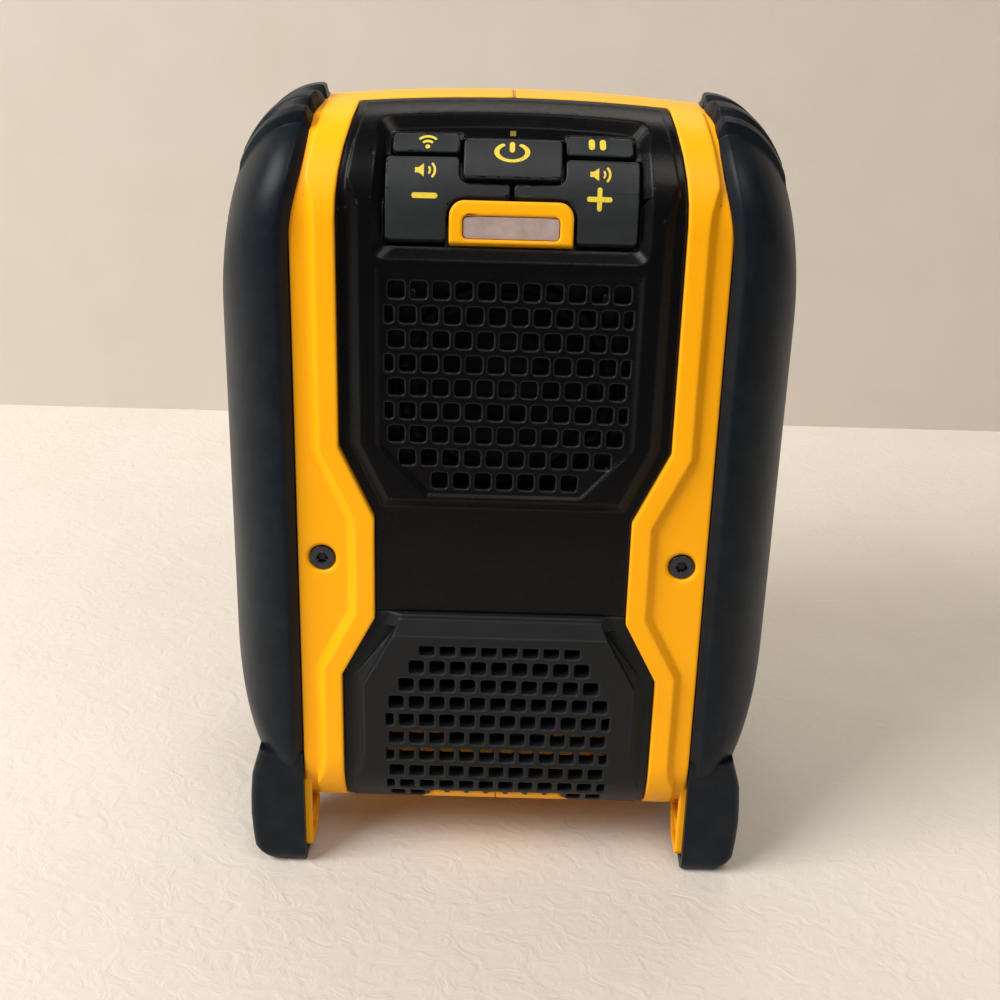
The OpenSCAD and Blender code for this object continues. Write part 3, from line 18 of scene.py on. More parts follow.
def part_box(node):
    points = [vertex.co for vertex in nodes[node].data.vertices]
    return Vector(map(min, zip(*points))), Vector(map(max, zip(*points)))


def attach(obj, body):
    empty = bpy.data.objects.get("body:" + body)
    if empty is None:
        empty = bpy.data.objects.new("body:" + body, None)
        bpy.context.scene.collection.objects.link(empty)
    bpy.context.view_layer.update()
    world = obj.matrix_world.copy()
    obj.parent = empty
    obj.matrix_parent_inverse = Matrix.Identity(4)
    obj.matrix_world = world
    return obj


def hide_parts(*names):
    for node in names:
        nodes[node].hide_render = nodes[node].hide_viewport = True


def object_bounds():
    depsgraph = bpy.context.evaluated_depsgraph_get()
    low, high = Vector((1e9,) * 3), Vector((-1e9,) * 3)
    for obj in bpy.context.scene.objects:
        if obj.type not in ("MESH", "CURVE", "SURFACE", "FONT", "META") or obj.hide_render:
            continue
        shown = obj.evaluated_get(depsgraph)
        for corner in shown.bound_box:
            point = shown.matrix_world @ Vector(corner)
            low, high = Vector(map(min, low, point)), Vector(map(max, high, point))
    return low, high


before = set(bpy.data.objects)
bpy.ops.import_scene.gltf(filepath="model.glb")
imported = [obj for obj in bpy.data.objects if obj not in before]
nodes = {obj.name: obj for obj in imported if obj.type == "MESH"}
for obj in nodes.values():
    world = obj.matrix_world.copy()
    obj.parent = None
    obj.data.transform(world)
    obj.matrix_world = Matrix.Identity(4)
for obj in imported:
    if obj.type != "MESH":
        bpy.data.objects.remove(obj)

MM = 0.001
cad_box = [list(corner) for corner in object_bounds()]
print("solids:", len(nodes), "box in mm:", [[round(v / MM, 1) for v in corner] for corner in cad_box])

# %% [markdown]
# ## Camera
# The photograph was taken from a little above, with the camera turned a degree and a half about its own
# axis. A camera can be guessed by eye or solved from edges that are known to be upright. These values were
# solved that way, which is why the speaker fills the same part of the picture as in the photograph.

# %% Camera
IMAGE_PX = 1000
FOCAL_PX = 1540
SENSOR_MM = 36
CAMERA_MM = (-0.9, -404.4, 260.9)
CAMERA_PITCH = 23.45
CAMERA_ROLL = 1.55

camera = bpy.data.objects.new("camera", bpy.data.cameras.new("camera"))
camera.data.sensor_fit = "HORIZONTAL"
camera.data.sensor_width = SENSOR_MM
camera.data.lens = FOCAL_PX / IMAGE_PX * SENSOR_MM
camera.data.clip_start = 0.01
aim = Matrix.Rotation(math.radians(90 - CAMERA_PITCH), 4, "X")
roll = Matrix.Rotation(math.radians(CAMERA_ROLL), 4, "Z")
camera.matrix_world = Matrix.Translation(Vector(CAMERA_MM) * MM) @ aim @ roll
bpy.context.scene.collection.objects.link(camera)
bpy.context.scene.camera = camera
print("lens in mm:", round(camera.data.lens, 2))

# %% [markdown]
# ## Colours and shader nodes
# Paint charts and screens give colours in sRGB, but a shader works with linear light, so one function
# turns a hex value into linear numbers. A second small function adds a shader node, sets its options and
# either fills a socket with a value or links it. Every material below is written with these two.

# %% Helpers for materials


def linear(hex_colour):
    """An sRGB hex colour such as #feb90a as linear RGBA."""
    channels = [int(hex_colour[k:k + 2], 16) / 255 for k in (1, 3, 5)]
    return [c / 12.92 if c <= 0.04045 else ((c + 0.055) / 1.055) ** 2.4 for c in channels] + [1.0]


def add(tree, kind, inputs=None, **settings):
    """Add one node. inputs maps a socket to a value or to the output that feeds it."""
    node = tree.nodes.new(kind)
    for name, value in settings.items():
        setattr(node, name, value)
    for socket, value in (inputs or {}).items():
        if isinstance(value, bpy.types.NodeSocket):
            tree.links.new(value, node.inputs[socket])
        else:
            node.inputs[socket].default_value = value
    return node


def start_material(name, roughness, ior=1.5, metallic=0.0):
    """A new material with its shader and the object's own coordinates, in metres."""
    material = bpy.data.materials.new(name)
    material.use_nodes = True
    tree = material.node_tree
    shader = tree.nodes["Principled BSDF"]
    shader.inputs["Roughness"].default_value = roughness
    shader.inputs["Metallic"].default_value = metallic
    if metallic == 0:
        shader.inputs["IOR"].default_value = ior
    place = add(tree, "ShaderNodeTexCoord").outputs["Object"]
    return material, tree, shader, place


def per_mm(size):
    """Texture scale that gives one feature about every size millimetres."""
    return 1 / (size * MM)


print("yellow in linear light:", [round(c, 3) for c in linear("#feb90a")])

# %% [markdown]
# ## Yellow shells: moulded ABS
# The shells are injection-moulded ABS with a light spark-eroded texture. The eye sees a satin surface whose
# highlight is broad but not sharp, a colour that drifts a little over the part, grime that has settled in
# the grain, and paler edges: partly rubbed by handling, partly a highlight painted into the colour along the
# ridges and hole rims. Where the rounded normal departs from the plain one there is an edge, and that difference
# places the paler edge colour. The grain of the real texture is about 0.1 mm, too fine for the picture, so it is
# drawn at 0.5 mm.

# %% Moulded yellow ABS
GRAIN_MM = 0.5


def moulded_abs(name, colour, deep, grime, edge_wear_and_highlight, roughness, relief_mm, grime_share, wear, shine, round_mm):
    """Moulded plastic: drifting colour, grimy specks, paler edges from wear and a painted highlight, uneven gloss
    and a fine grain.
    """
    material, tree, shader, place = start_material(name, roughness, ior=1.54)
    shader.inputs["Specular IOR Level"].default_value = shine
    drift = add(tree, "ShaderNodeTexNoise", {"Vector": place, "Scale": per_mm(45), "Detail": 3.0})
    base = add(tree, "ShaderNodeMix", {0: drift.outputs["Fac"], 6: linear(colour), 7: linear(deep)},
               data_type="RGBA")
    specks = add(tree, "ShaderNodeTexNoise",
                 {"Vector": place, "Scale": per_mm(2.6), "Detail": 8.0, "Roughness": 0.7})
    settled = add(tree, "ShaderNodeMapRange",
                  {"Value": specks.outputs["Fac"], "From Min": 0.6, "From Max": 0.8, "To Min": 0.0,
                   "To Max": grime_share})
    grimy = add(tree, "ShaderNodeMix",
                {0: settled.outputs["Result"], 6: base.outputs[2], 7: linear(grime)}, data_type="RGBA")
    rounded = add(tree, "ShaderNodeBevel", {"Radius": round_mm * MM}, samples=6)
    plain = add(tree, "ShaderNodeNewGeometry")
    bend = add(tree, "ShaderNodeVectorMath", {0: rounded.outputs["Normal"], 1: plain.outputs["Normal"]},
               operation="DOT_PRODUCT")
    # Paler edges: part rubbed wear, part a highlight painted into the colour along ridges and hole rims.
    edge = add(tree, "ShaderNodeMapRange",
               {"Value": bend.outputs["Value"], "From Min": 0.995, "From Max": 0.86, "To Min": 0.0, "To Max": wear})
    rubbed = add(tree, "ShaderNodeMath", {0: edge.outputs["Result"], 1: specks.outputs["Fac"]}, operation="MULTIPLY")
    pale = add(tree, "ShaderNodeMix",
               {0: rubbed.outputs["Value"], 6: grimy.outputs[2], 7: linear(edge_wear_and_highlight)}, data_type="RGBA")
    tree.links.new(pale.outputs[2], shader.inputs["Base Color"])
    gloss = add(tree, "ShaderNodeTexNoise", {"Vector": place, "Scale": per_mm(9), "Detail": 5.0})
    uneven = add(tree, "ShaderNodeMapRange",
                 {"Value": gloss.outputs["Fac"], "To Min": roughness - 0.07, "To Max": roughness + 0.09})
    tree.links.new(uneven.outputs["Result"], shader.inputs["Roughness"])
    grain = add(tree, "ShaderNodeTexNoise",
                {"Vector": place, "Scale": per_mm(GRAIN_MM), "Detail": 2.0, "Roughness": 0.6})
    relief = add(tree, "ShaderNodeBump",
                 {"Height": grain.outputs["Fac"], "Normal": rounded.outputs["Normal"], "Strength": 0.5,
                  "Distance": relief_mm * MM})
    tree.links.new(relief.outputs["Normal"], shader.inputs["Normal"])
    return material


# The fourth colour of each is for its edges: part wear, part painted highlight.
yellow_abs = moulded_abs("moulded_yellow_abs", "#ffb400", "#f8a600", "#7a4f0c", "#ffd45c",
                         0.44, 0.05, 0.10, 0.5, 0.2, 1.2)
panel_abs = moulded_abs("glossy_black_abs", "#050506", "#070709", "#2c2c2e", "#6e7074",
                        0.27, 0.08, 0.08, 0.6, 0.14, 0.7)
grille_abs = moulded_abs("matt_charcoal_abs", "#15181a", "#1a1c1e", "#45443f", "#5a5e62",
                         0.44, 0.07, 0.10, 0.45, 0.14, 0.9)
rear_abs = moulded_abs("satin_black_abs", "#101012", "#141416", "#383735", "#5a5b5e",
                       0.42, 0.06, 0.10, 0.5, 0.3, 0.5)
print("moulded plastics:", [m.name for m in (yellow_abs, panel_abs, grille_abs, rear_abs)])

# %% [markdown]
# ## Soft bumpers and keys: TPE
# The bumpers are a thermoplastic elastomer moulded over the shells, and the keys are a harder grade of it.
# TPE scatters light near its surface, so it shows a bluish grey sheen instead of a mirror line, and it
# holds pale dust and rubbed marks. A little sheen and a mottled, slightly dusty colour give that.

# %% Soft TPE


def soft_tpe(name, colour, dusty, roughness, dust_share, shine):
    """Elastomer skin: dark body colour, pale dust in a mottle, a velvet edge and a fine grain."""
    material, tree, shader, place = start_material(name, roughness, ior=1.5)
    mottle = add(tree, "ShaderNodeTexNoise",
                 {"Vector": place, "Scale": per_mm(6), "Detail": 9.0, "Roughness": 0.65})
    dust = add(tree, "ShaderNodeMapRange",
               {"Value": mottle.outputs["Fac"], "From Min": 0.45, "From Max": 0.75, "To Min": 0.0,
                "To Max": dust_share})
    base = add(tree, "ShaderNodeMix",
               {0: dust.outputs["Result"], 6: linear(colour), 7: linear(dusty)}, data_type="RGBA")
    tree.links.new(base.outputs[2], shader.inputs["Base Color"])
    rubbed = add(tree, "ShaderNodeTexNoise", {"Vector": place, "Scale": per_mm(22), "Detail": 6.0})
    uneven = add(tree, "ShaderNodeMapRange",
                 {"Value": rubbed.outputs["Fac"], "To Min": roughness - 0.08, "To Max": roughness + 0.1})
    tree.links.new(uneven.outputs["Result"], shader.inputs["Roughness"])
    shader.inputs["Specular IOR Level"].default_value = shine
    shader.inputs["Sheen Weight"].default_value = 0.02
    shader.inputs["Sheen Roughness"].default_value = 0.45
    shader.inputs["Sheen Tint"].default_value = linear("#b8cce4")
    grain = add(tree, "ShaderNodeTexNoise",
                {"Vector": place, "Scale": per_mm(GRAIN_MM), "Detail": 2.0, "Roughness": 0.6})
    relief = add(tree, "ShaderNodeBump",
                 {"Height": grain.outputs["Fac"], "Strength": 0.45, "Distance": 0.05 * MM})
    tree.links.new(relief.outputs["Normal"], shader.inputs["Normal"])
    return material


bumper_tpe = soft_tpe("charcoal_tpe", "#0f161d", "#46525c", 0.40, 0.08, 0.14)
key_tpe = soft_tpe("black_key_tpe", "#24282b", "#55585c", 0.46, 0.10, 0.25)
cover_tpe = soft_tpe("black_cover_tpe", "#101214", "#444446", 0.52, 0.10, 0.25)
print("elastomers:", [m.name for m in (bumper_tpe, key_tpe, cover_tpe)])

# %% [markdown]
# ## Lens: frosted polycarbonate
# The window in front of the indicator lamps is frosted polycarbonate over a pale diffuser, so it looks
# milky and a little pink, with dust in the frosting. A rough, slightly see-through shader with a mottled
# colour is enough, because nothing sharp is ever seen through it.

# %% Frosted polycarbonate
lens_pc, tree, shader, place = start_material("frosted_polycarbonate", 0.42, ior=1.585)
mottle = add(tree, "ShaderNodeTexNoise",
             {"Vector": place, "Scale": per_mm(4), "Detail": 6.0, "Roughness": 0.6})
frost = add(tree, "ShaderNodeValToRGB", {"Fac": mottle.outputs["Fac"]})
frost.color_ramp.elements[0].position = 0.3
frost.color_ramp.elements[0].color = linear("#9a8782")
frost.color_ramp.elements[1].position = 0.72
frost.color_ramp.elements[1].color = linear("#b5a49f")
tree.links.new(frost.outputs["Color"], shader.inputs["Base Color"])
shader.inputs["Subsurface Weight"].default_value = 0.4
shader.inputs["Subsurface Radius"].default_value = (1.0, 0.7, 0.6)
shader.inputs["Subsurface Scale"].default_value = 1.2 * MM
frosting = add(tree, "ShaderNodeTexNoise", {"Vector": place, "Scale": per_mm(0.6), "Detail": 2.0})
relief = add(tree, "ShaderNodeBump",
             {"Height": frosting.outputs["Fac"], "Strength": 0.4, "Distance": 0.05 * MM})
tree.links.new(relief.outputs["Normal"], shader.inputs["Normal"])
print("lens:", lens_pc.name)

# %% [markdown]
# ## Printed signs: pad-printing ink
# The key signs are pad-printed in a slightly greenish yellow. The ink film is thin and a little worn, so
# its colour breaks up at a scale of about a millimetre.

# %% Pad-printing ink
sign_ink, tree, shader, place = start_material("pad_printing_ink", 0.5, ior=1.5)
wear = add(tree, "ShaderNodeTexNoise",
           {"Vector": place, "Scale": per_mm(0.9), "Detail": 6.0, "Roughness": 0.7})
film = add(tree, "ShaderNodeValToRGB", {"Fac": wear.outputs["Fac"]})
film.color_ramp.elements[0].position = 0.3
film.color_ramp.elements[0].color = linear("#a8942a")
film.color_ramp.elements[1].position = 0.46
film.color_ramp.elements[1].color = linear("#dcc538")
tree.links.new(film.outputs["Color"], shader.inputs["Base Color"])
print("ink:", sign_ink.name)

# %% [markdown]
# ## Metals
# Screws, plates and contacts are metal. Blackened screws have a thin oxide over steel, zinc plating is pale
# and faintly cloudy, and pressed steel shows fine rolling lines. One function makes them all from two colours,
# a roughness, the size of the clouding and, for the black screws, how far the look into a recess reaches:
# where little of the surroundings can be seen from a point, it lies deep in a recess, and shade is painted
# into its colour there.

# %% Metals
SHUT_IN, WIDE_OPEN = 0.5, 0.96
DEEP_SHADE_SHARE = 0.03


def metal(name, bright, dull, roughness, cloud_mm, shade_reach_mm=0.0):
    """Metal with cloudy plating and fine drawn lines in its gloss, and with painted shade in its recesses if a reach
    is given.
    """
    material, tree, shader, place = start_material(name, roughness, metallic=1.0)
    cloud = add(tree, "ShaderNodeTexNoise", {"Vector": place, "Scale": per_mm(cloud_mm), "Detail": 6.0})
    colour = add(tree, "ShaderNodeMix", {0: cloud.outputs["Fac"], 6: linear(bright), 7: linear(dull)},
                 data_type="RGBA")
    finish = colour.outputs[2]
    if shade_reach_mm > 0:
        # Painted shade: the less is open around a point, the darker its colour, down to near black in recesses.
        pit = add(tree, "ShaderNodeAmbientOcclusion", {"Distance": shade_reach_mm * MM}, samples=8, only_local=True)
        open_share = add(tree, "ShaderNodeMapRange",
                         {"Value": pit.outputs["AO"], "From Min": SHUT_IN, "From Max": WIDE_OPEN,
                          "To Min": DEEP_SHADE_SHARE})
        recess_shade = add(tree, "ShaderNodeMix", {0: open_share.outputs["Result"], 6: linear("#020203"), 7: finish},
                    data_type="RGBA")
        finish = recess_shade.outputs[2]
    tree.links.new(finish, shader.inputs["Base Color"])
    drawn = add(tree, "ShaderNodeTexNoise", {"Vector": place, "Scale": per_mm(0.4), "Detail": 3.0})
    uneven = add(tree, "ShaderNodeMapRange",
                 {"Value": drawn.outputs["Fac"], "To Min": roughness - 0.08, "To Max": roughness + 0.12})
    tree.links.new(uneven.outputs["Result"], shader.inputs["Roughness"])
    relief = add(tree, "ShaderNodeBump",
                 {"Height": drawn.outputs["Fac"], "Strength": 0.25, "Distance": 0.02 * MM})
    tree.links.new(relief.outputs["Normal"], shader.inputs["Normal"])
    return material


black_oxide = metal("black_oxide_steel", "#545459", "#34343a", 0.25, 1.2, 3.0)
zinc_steel = metal("zinc_plated_steel", "#c4c7ca", "#9b9fa3", 0.3, 2.0)
pressed_steel = metal("painted_pressed_steel", "#4a4a4e", "#37373a", 0.4, 5.0)
plate_steel = metal("zinc_plate_steel", "#a6a9ae", "#83878c", 0.36, 6.0)
contact_gold = metal("plated_contact_brass", "#d9b45a", "#b08a3c", 0.28, 1.5)
coil_copper = metal("enamelled_copper", "#c07a44", "#96552a", 0.35, 0.8)
metals = (black_oxide, zinc_steel, pressed_steel, plate_steel, contact_gold, coil_copper)
print("metals:", [m.name for m in metals])

# %% [markdown]
# ## Inside: boards, paper, cloth, foam and ferrite
# Behind the grilles sit a paper cone with a rubber roll, a resin-stiffened cloth spider, a sintered magnet
# and two circuit boards. They are mostly in the dark, but the model is also opened and turned, so each gets
# its own grain: fibres for paper, a weave for cloth, pores for foam, copper tracks under green lacquer.

# %% Inner materials


def grained(name, colour, light, roughness, grain_mm, relief_mm, texture="ShaderNodeTexNoise"):
    """A plain inner material with a grain of its own size in colour and relief."""
    material, tree, shader, place = start_material(name, roughness)
    pattern = add(tree, texture, {"Vector": place, "Scale": per_mm(grain_mm)})
    value = pattern.outputs["Distance" if texture == "ShaderNodeTexVoronoi" else "Fac"]
    mix = add(tree, "ShaderNodeMix", {0: value, 6: linear(colour), 7: linear(light)}, data_type="RGBA")
    tree.links.new(mix.outputs[2], shader.inputs["Base Color"])
    relief = add(tree, "ShaderNodeBump", {"Height": value, "Strength": 0.6, "Distance": relief_mm * MM})
    tree.links.new(relief.outputs["Normal"], shader.inputs["Normal"])
    return material


cone_paper = grained("coated_cone_paper", "#17171a", "#26262a", 0.62, 0.9, 0.08)
roll_rubber = grained("surround_rubber", "#111113", "#1c1c1f", 0.55, 0.7, 0.04)
spider_cloth = grained("resin_stiffened_cloth", "#8f6a35", "#cfa569", 0.75, 0.6, 0.1, "ShaderNodeTexVoronoi")
gasket_foam = grained("cellular_foam", "#141414", "#303030", 0.85, 0.8, 0.15, "ShaderNodeTexVoronoi")
ferrite = grained("sintered_ferrite", "#26262a", "#3c3c40", 0.55, 0.6, 0.04)
part_resin = grained("moulded_component_resin", "#1a1b1e", "#2a2b2f", 0.5, 0.5, 0.03)
led_resin = grained("clear_led_resin", "#d8d6c8", "#f2f1e6", 0.2, 0.8, 0.01)

board_fr4, tree, shader, place = start_material("lacquered_fr4_board", 0.34, ior=1.55)
tracks = add(tree, "ShaderNodeTexBrick",
             {"Vector": place, "Color1": linear("#0c2a16"), "Color2": linear("#0f351b"),
              "Mortar": linear("#1f5229"), "Scale": per_mm(14), "Mortar Size": 0.03, "Bias": 0.0,
              "Brick Width": 0.9, "Row Height": 0.3})
tree.links.new(tracks.outputs["Color"], shader.inputs["Base Color"])
relief = add(tree, "ShaderNodeBump", {"Height": tracks.outputs["Fac"], "Strength": 0.4, "Distance": 0.04 * MM})
tree.links.new(relief.outputs["Normal"], shader.inputs["Normal"])
inner = (cone_paper, roll_rubber, spider_cloth, gasket_foam, ferrite, part_resin, led_resin, board_fr4)
print("inner materials:", [m.name for m in inner])

# %% [markdown]
# ## Finishing the solids
# The solids come with knife-sharp edges, and no moulding has those: a mould corner has a radius of a few
# tenths of a millimetre, and that radius is what catches the light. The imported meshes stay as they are, so
# the edges are softened by modifiers: points are welded, flat triangles are joined into faces, edges are
# bevelled, and the normals are weighted so that flat faces still look flat. The wider roundings of the blunt
# ridges are left to the shader, which bends the normals near an edge without moving a point. The rear panel's
# long thin faces don't take a bevel, and the rubber roll and the cloth spider need none, so on these three the
# edges are only creased: shading stops at each of them.

# %% Materials and softened edges on the solids
FLAT_ANGLE = math.radians(0.4)
EDGE_ANGLE = math.radians(27)
WELD_MM = 0.002
BEVEL_STEPS = 2
FACE_WEIGHT = 60

creases = bpy.data.node_groups.new("crease_by_angle", "GeometryNodeTree")
for way in ("INPUT", "OUTPUT"):
    creases.interface.new_socket("Geometry", in_out=way, socket_type="NodeSocketGeometry")
bend = add(creases, "GeometryNodeInputMeshEdgeAngle")
steep = add(creases, "FunctionNodeCompare", {0: bend.outputs["Unsigned Angle"], 1: EDGE_ANGLE},
            data_type="FLOAT", operation="GREATER_THAN")
crease = add(creases, "GeometryNodeSetShadeSmooth",
             {"Geometry": add(creases, "NodeGroupInput").outputs[0], "Selection": steep.outputs["Result"],
              "Shade Smooth": False}, domain="EDGE")
add(creases, "NodeGroupOutput", {0: crease.outputs["Geometry"]})


def soften(node, material, edge_mm):
    """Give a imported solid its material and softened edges, without touching its mesh points."""
    obj = nodes[node]
    for slot in obj.material_slots:
        slot.material = material
    obj.data.polygons.foreach_set("use_smooth", [True] * len(obj.data.polygons))
    weld = obj.modifiers.new("weld", "WELD")
    weld.merge_threshold = WELD_MM * MM
    if edge_mm > 0:
        flat = obj.modifiers.new("flat_faces", "DECIMATE")
        flat.decimate_type = "DISSOLVE"
        flat.angle_limit = FLAT_ANGLE
        bevel = obj.modifiers.new("soft_edges", "BEVEL")
        bevel.width = edge_mm * MM
        bevel.segments = BEVEL_STEPS
        bevel.limit_method = "ANGLE"
        bevel.angle_limit = EDGE_ANGLE
        bevel.use_clamp_overlap = False
    else:
        obj.modifiers.new("creases", "NODES").node_group = creases
    even = obj.modifiers.new("weighted_normals", "WEIGHTED_NORMAL")
    even.weight = FACE_WEIGHT
    even.keep_sharp = edge_mm == 0


FINISHES = [
    (yellow_abs, 0.2, ["left_side_shell", "right_side_shell"]),
    (panel_abs, 0.25, ["front_panel"]),
    (grille_abs, 0.2, ["lower_grille"]),
    (yellow_abs, 0.3, ["indicator_bezel"]),
    (rear_abs, 0.0, ["rear_panel"]),
    (rear_abs, 0.3, ["terminal_block"]),
    (rear_abs, 0.2, ["speaker_baffle", "bass_port", "aux_jack", "power_inlet"]),
    (key_tpe, 0.4, ["pairing_button", "power_button", "pause_button",
                    "volume_down_button", "volume_up_button"]),
    (cover_tpe, 0.3, ["port_cover"]),
    (lens_pc, 0.2, ["indicator_lens"]),
    (board_fr4, 0.1, ["control_board", "main_board"]),
    (contact_gold, 0.08, ["contact_pads", "battery_terminals"]),
    (led_resin, 0.1, ["status_leds"]),
    (zinc_steel, 0.12, ["board_screws", "speaker_screws", "main_board_screws"]),
    (black_oxide, 0.14, ["cheek_screws", "rear_screws"]),
    (gasket_foam, 0.1, ["speaker_gasket"]),
    (pressed_steel, 0.15, ["speaker_frame"]),
    (plate_steel, 0.2, ["top_plate", "pole_yoke"]),
    (roll_rubber, 0.0, ["cone_surround"]),
    (cone_paper, 0.1, ["speaker_cone", "dust_cap"]),
    (coil_copper, 0.05, ["voice_coil"]),
    (spider_cloth, 0.0, ["spider"]),
    (ferrite, 0.3, ["speaker_magnet"]),
    (part_resin, 0.2, ["board_components"]),
]
for material, edge_mm, names in FINISHES:
    for name in names:
        soften(name, material, edge_mm)
print("finished solids:", sum(len(row[-1]) for row in FINISHES))

# %% [markdown]
# ## Outline of the side
# Seen from the side the speaker is a tall shape with four roundings and one long roof arc. The bumpers follow
# it all the way round, so it is sampled once: each sample is a point and the direction straight out from it.
# Moving the samples along that direction then gives any inset or rib without a new outline. They lie closer
# together over the upper front corner, where the ribs will stand.

# %% Side outline
SIDE = {"low": 20.0, "front_low": 22.0, "front_top": 24.0, "roof": 120.0, "rear_top": 20.0, "rear_low": 12.0}
COARSE, FINE = 1.6, 0.22
FINE_FROM, FINE_TO = 128, 82
CROWN_DIP = 2.51
CROWN_FROM = 100.0
shell_low, shell_high = (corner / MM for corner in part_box("right_side_shell"))
y_front, y_rear, roof_top = shell_low.y, shell_high.y, shell_high.z
roof_y = y_front + SIDE["front_top"]
roof_z = roof_top - SIDE["roof"]
rear_y = y_rear - SIDE["rear_top"]
rear_z = roof_z + math.sqrt((SIDE["roof"] - SIDE["rear_top"]) ** 2 - (rear_y - roof_y) ** 2)
roof_end = math.degrees(math.atan2(rear_z - roof_z, rear_y - roof_y))


def arc_samples(centre, radius, start, end, step):
    """Points on an arc about a step apart, without its end, and the directions straight out."""
    count = max(2, round(abs(math.radians(end - start)) * radius / step))
    angle = np.radians(start + (end - start) * np.arange(count) / count)
    out = np.column_stack([np.cos(angle), np.sin(angle)])
    return np.array(centre) + radius * out, out


def line_samples(start, end, out, step):
    """Points on a line about a step apart, without its end, and the direction out for each."""
    count = max(2, round(math.dist(start, end) / step))
    share = (np.arange(count) / count)[:, None]
    return np.array(start) * (1 - share) + np.array(end) * share, np.tile(out, (count, 1))


low = (y_front + SIDE["front_low"], SIDE["low"] + SIDE["front_low"])
top = (roof_y, roof_top - SIDE["front_top"])
back = (y_rear - SIDE["rear_low"], SIDE["low"] + SIDE["rear_low"])
pieces = [
    arc_samples(low, SIDE["front_low"], 270, 180, COARSE),
    line_samples((y_front, low[1]), (y_front, top[1]), (-1, 0), 2 * COARSE),
    arc_samples(top, SIDE["front_top"], 180, FINE_FROM, COARSE),
    arc_samples(top, SIDE["front_top"], FINE_FROM, 90, FINE),
    arc_samples((roof_y, roof_z), SIDE["roof"], 90, FINE_TO, FINE),
    arc_samples((roof_y, roof_z), SIDE["roof"], FINE_TO, roof_end, COARSE),
    arc_samples((rear_y, rear_z), SIDE["rear_top"], roof_end, 0, COARSE),
    line_samples((y_rear, rear_z), (y_rear, back[1]), (1, 0), 2 * COARSE),
    arc_samples(back, SIDE["rear_low"], 0, -90, COARSE),
    line_samples((back[0], SIDE["low"]), (low[0], SIDE["low"]), (0, -1), 2 * COARSE),
]
side_points = np.concatenate([p for p, _ in pieces])
side_out = np.concatenate([o for _, o in pieces])
print("side samples:", len(side_points), "roof ends at", round(roof_end, 1), "degrees")

# %% [markdown]
# ## Bumpers
# A bumper is a soft skin over the whole side. It starts at a bevelled rim on the shell, runs straight out,
# rounds over in a quarter ellipse and ends in a flat face. Near the roof the rim laps over the shell. Three
# ribs step up over the upper front corner like the teeth of a saw, and each stops bluntly part way down the
# rounding. A subdivision cage could give the round form, but the ribs need crisp risers in exact places, so
# the skin is lofted: one ring of points for each place along its cross-section.

# %% Bumper skins
HALF_SHELL = 51.0
DRAW_FROM = roof_top - 25.0
MID_DROP = 6.0
DRAW_RADIUS = 65.0
SEAT_GAP = 0.3
BUMPER_X = cad_box[1][0] / MM
PROUD = 1.0
RIM_INSET = 1.2
BEVEL_SHARE = 0.12
ROUND_SHARE = 0.5
RIB_Y = [-13.2, -12.1, -10.4, -8.4, -7.3, -4.4, 0.8, 1.2, 7.0, 15.0]
RIB_UP = [0.0, 2.6, 2.6, 0.9, 2.7, 2.7, 0.7, 2.6, 2.5, 0.0]
RIBS_FROM = 150.0
RIB_END = 44.0
RIB_END_SOFT = 2.2
LAP_MM, LAP_FROM, LAP_OVER = 2.6, 172, 24
ROOF_LAP_MM, ROOF_LAP_FROM, ROOF_LAP_OVER, ROOF_LAP_AHEAD = 1.7, 190, 6, 8
FACE_DRAWS = (0.6, 0.75, 0.9)
# Each ring of the rim has an inset, a share of the bumper's depth and a share of the ribs' height.
RIM_RINGS = [
    (7.0, 0.0, 0), (RIM_INSET + 0.5, 0.0, 0), (RIM_INSET + 0.1, 0.006, 0), (RIM_INSET - 0.2, 0.02, 0.06),
    (0.1, 0.062, 0.5), (-PROUD + 0.25, 0.1, 0.9), (-PROUD + 0.05, BEVEL_SHARE, 0.98),
]
# Turns of the rounding in degrees, closest together where the ribs end.
ROUND_TURNS = np.concatenate([np.arange(2, RIB_END, 2.2), np.arange(RIB_END, RIB_END + 3, 0.5),
                              np.arange(RIB_END + 4.5, 90, 2.6), [90]])
side_mid = np.array([(y_front + y_rear) / 2, (SIDE["low"] + roof_top) / 2 - MID_DROP])


def smooth(x):
    """A soft step from 0 to 1."""
    x = np.clip(x, 0, 1)
    return x * x * (3 - 2 * x)


def rib_rise(p):
    """Height of the ribs over the skin at points of the outline."""
    return np.where(p[:, 1] > RIBS_FROM, np.interp(p[:, 0] - roof_y, RIB_Y, RIB_UP), 0)


def rim_lap(p):
    """How far the rim laps over the shell at points of the outline."""
    behind = smooth((p[:, 0] - roof_y + ROOF_LAP_AHEAD) / ROOF_LAP_AHEAD)
    on_roof = behind * smooth((p[:, 1] - ROOF_LAP_FROM) / ROOF_LAP_OVER)
    return LAP_MM * smooth((p[:, 1] - LAP_FROM) / LAP_OVER) + ROOF_LAP_MM * on_roof


def bumper_ring(inset, draw, share, rib_share):
    """One ring of the right-hand bumper: drawn towards the middle, and out by a share of its depth."""
    rise = rib_rise(side_points) * rib_share
    p = side_points + side_out * (rise - inset)[:, None]
    p[:, 1] -= CROWN_DIP * np.maximum(0, p[:, 1] - CROWN_FROM) / (roof_top - CROWN_FROM)
    above = np.maximum(0, p[:, 1] - DRAW_FROM)
    seat = HALF_SHELL - DRAW_RADIUS + np.sqrt(DRAW_RADIUS ** 2 - above ** 2) + SEAT_GAP - rim_lap(side_points)
    q = p + (side_mid - p) * draw
    return np.column_stack([seat + share * (BUMPER_X - seat), q])


